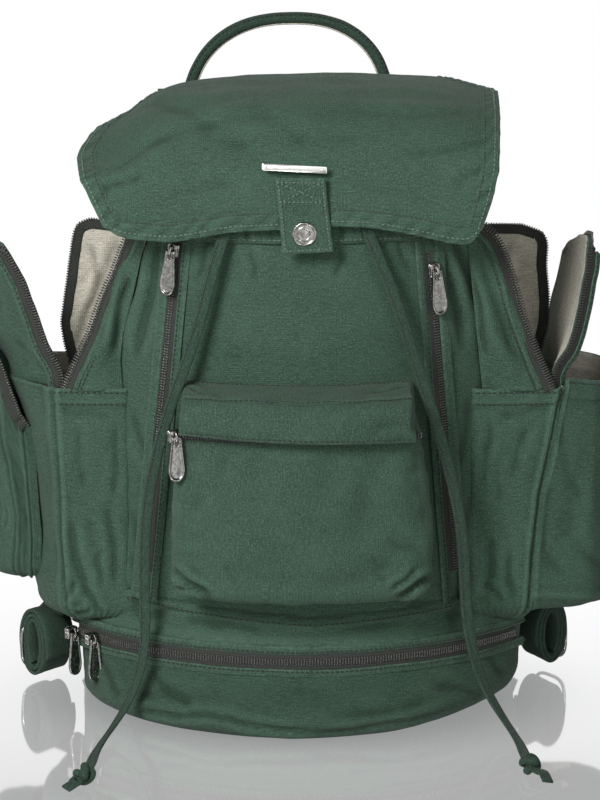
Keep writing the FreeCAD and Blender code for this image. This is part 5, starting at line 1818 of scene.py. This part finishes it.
def build_world():
    """White to the eye and near the horizon; dimmer overhead, so metal has something to show."""
    world = bpy.data.worlds.new("studio")
    bpy.context.scene.world = world
    m = Nodes(world)
    m.tree.nodes.clear()
    way = m.add("ShaderNodeSeparateXYZ", {0: m.place("Generated")}).outputs[2]
    behind = m.add("ShaderNodeMapRange", {"Value": way, "From Min": 0.42, "From Max": 0.30})
    over = m.add("ShaderNodeMapRange", {"Value": way, "From Min": 0.25, "From Max": 0.8, "To Min": 0.33,
                                        "To Max": 0.11})
    rays = m.add("ShaderNodeLightPath").outputs
    mirrored = m.math("MULTIPLY", rays["Is Glossy Ray"], behind.outputs[0])
    white = m.math("MAXIMUM", rays["Is Camera Ray"], mirrored)
    cast = m.add("ShaderNodeBackground", {0: (0.97, 0.98, 1, 1), 1: over.outputs[0]})
    seen = m.add("ShaderNodeBackground", {0: (1, 1, 1, 1)})
    both = m.add("ShaderNodeMixShader", {0: white, 1: cast.outputs[0], 2: seen.outputs[0]})
    m.add("ShaderNodeOutputWorld", {0: both.outputs[0]})


def area_light(name, place, target, size, power):
    """A square light that the camera can't see."""
    data = bpy.data.lights.new(name, "AREA")
    data.shape = "RECTANGLE"
    data.size = size
    data.size_y = size
    data.energy = power
    obj = bpy.data.objects.new(name, data)
    obj.location = place
    obj.rotation_euler = (Vector(target) - Vector(place)).to_track_quat("-Z", "Y").to_euler()
    obj.visible_camera = False
    obj.visible_glossy = name != "rear"
    bpy.context.scene.collection.objects.link(obj)


def build_camera():
    target = Vector((0, -0.095, 0.238))
    tilt = math.radians(14)
    away, half_view = 2.1, 0.272
    data = bpy.data.cameras.new("camera")
    camera = bpy.data.objects.new("camera", data)
    camera.location = target + away * Vector((0, -math.cos(tilt), math.sin(tilt)))
    camera.rotation_euler = (target - camera.location).to_track_quat("-Z", "Y").to_euler()
    data.sensor_fit = "VERTICAL"
    data.angle = 2 * math.atan(half_view / away)
    bpy.context.scene.collection.objects.link(camera)
    bpy.context.scene.camera = camera
    bpy.context.scene.view_settings.view_transform = "Standard"


def build_studio():
    build_world()
    build_floor()
    build_camera()
    area_light("key", (-0.58, -1.12, 1.02), (-0.03, -0.08, 0.38), 0.45, 18.5)
    area_light("fill", (0.7, -2.2, 0.8), (0, -0.05, 0.22), 1.2, 7.5)
    area_light("rear", (0.9, 2.2, 0.7), (0, 0.1, 0.22), 1.2, 30)


# ---------------------------------------------------------------- the whole pack

for build in (build_shell, build_casing, build_base, build_floors, build_back, build_back_pad, build_flap,
              build_tab, build_snap, build_plate, build_front_pocket, build_storm_flap, build_front_zips,
              build_pocket_zip,
              build_base_zip, build_sides, build_haul_loop, build_shoulder_straps, build_tails,
              build_drawstrings, build_studio):
    build()
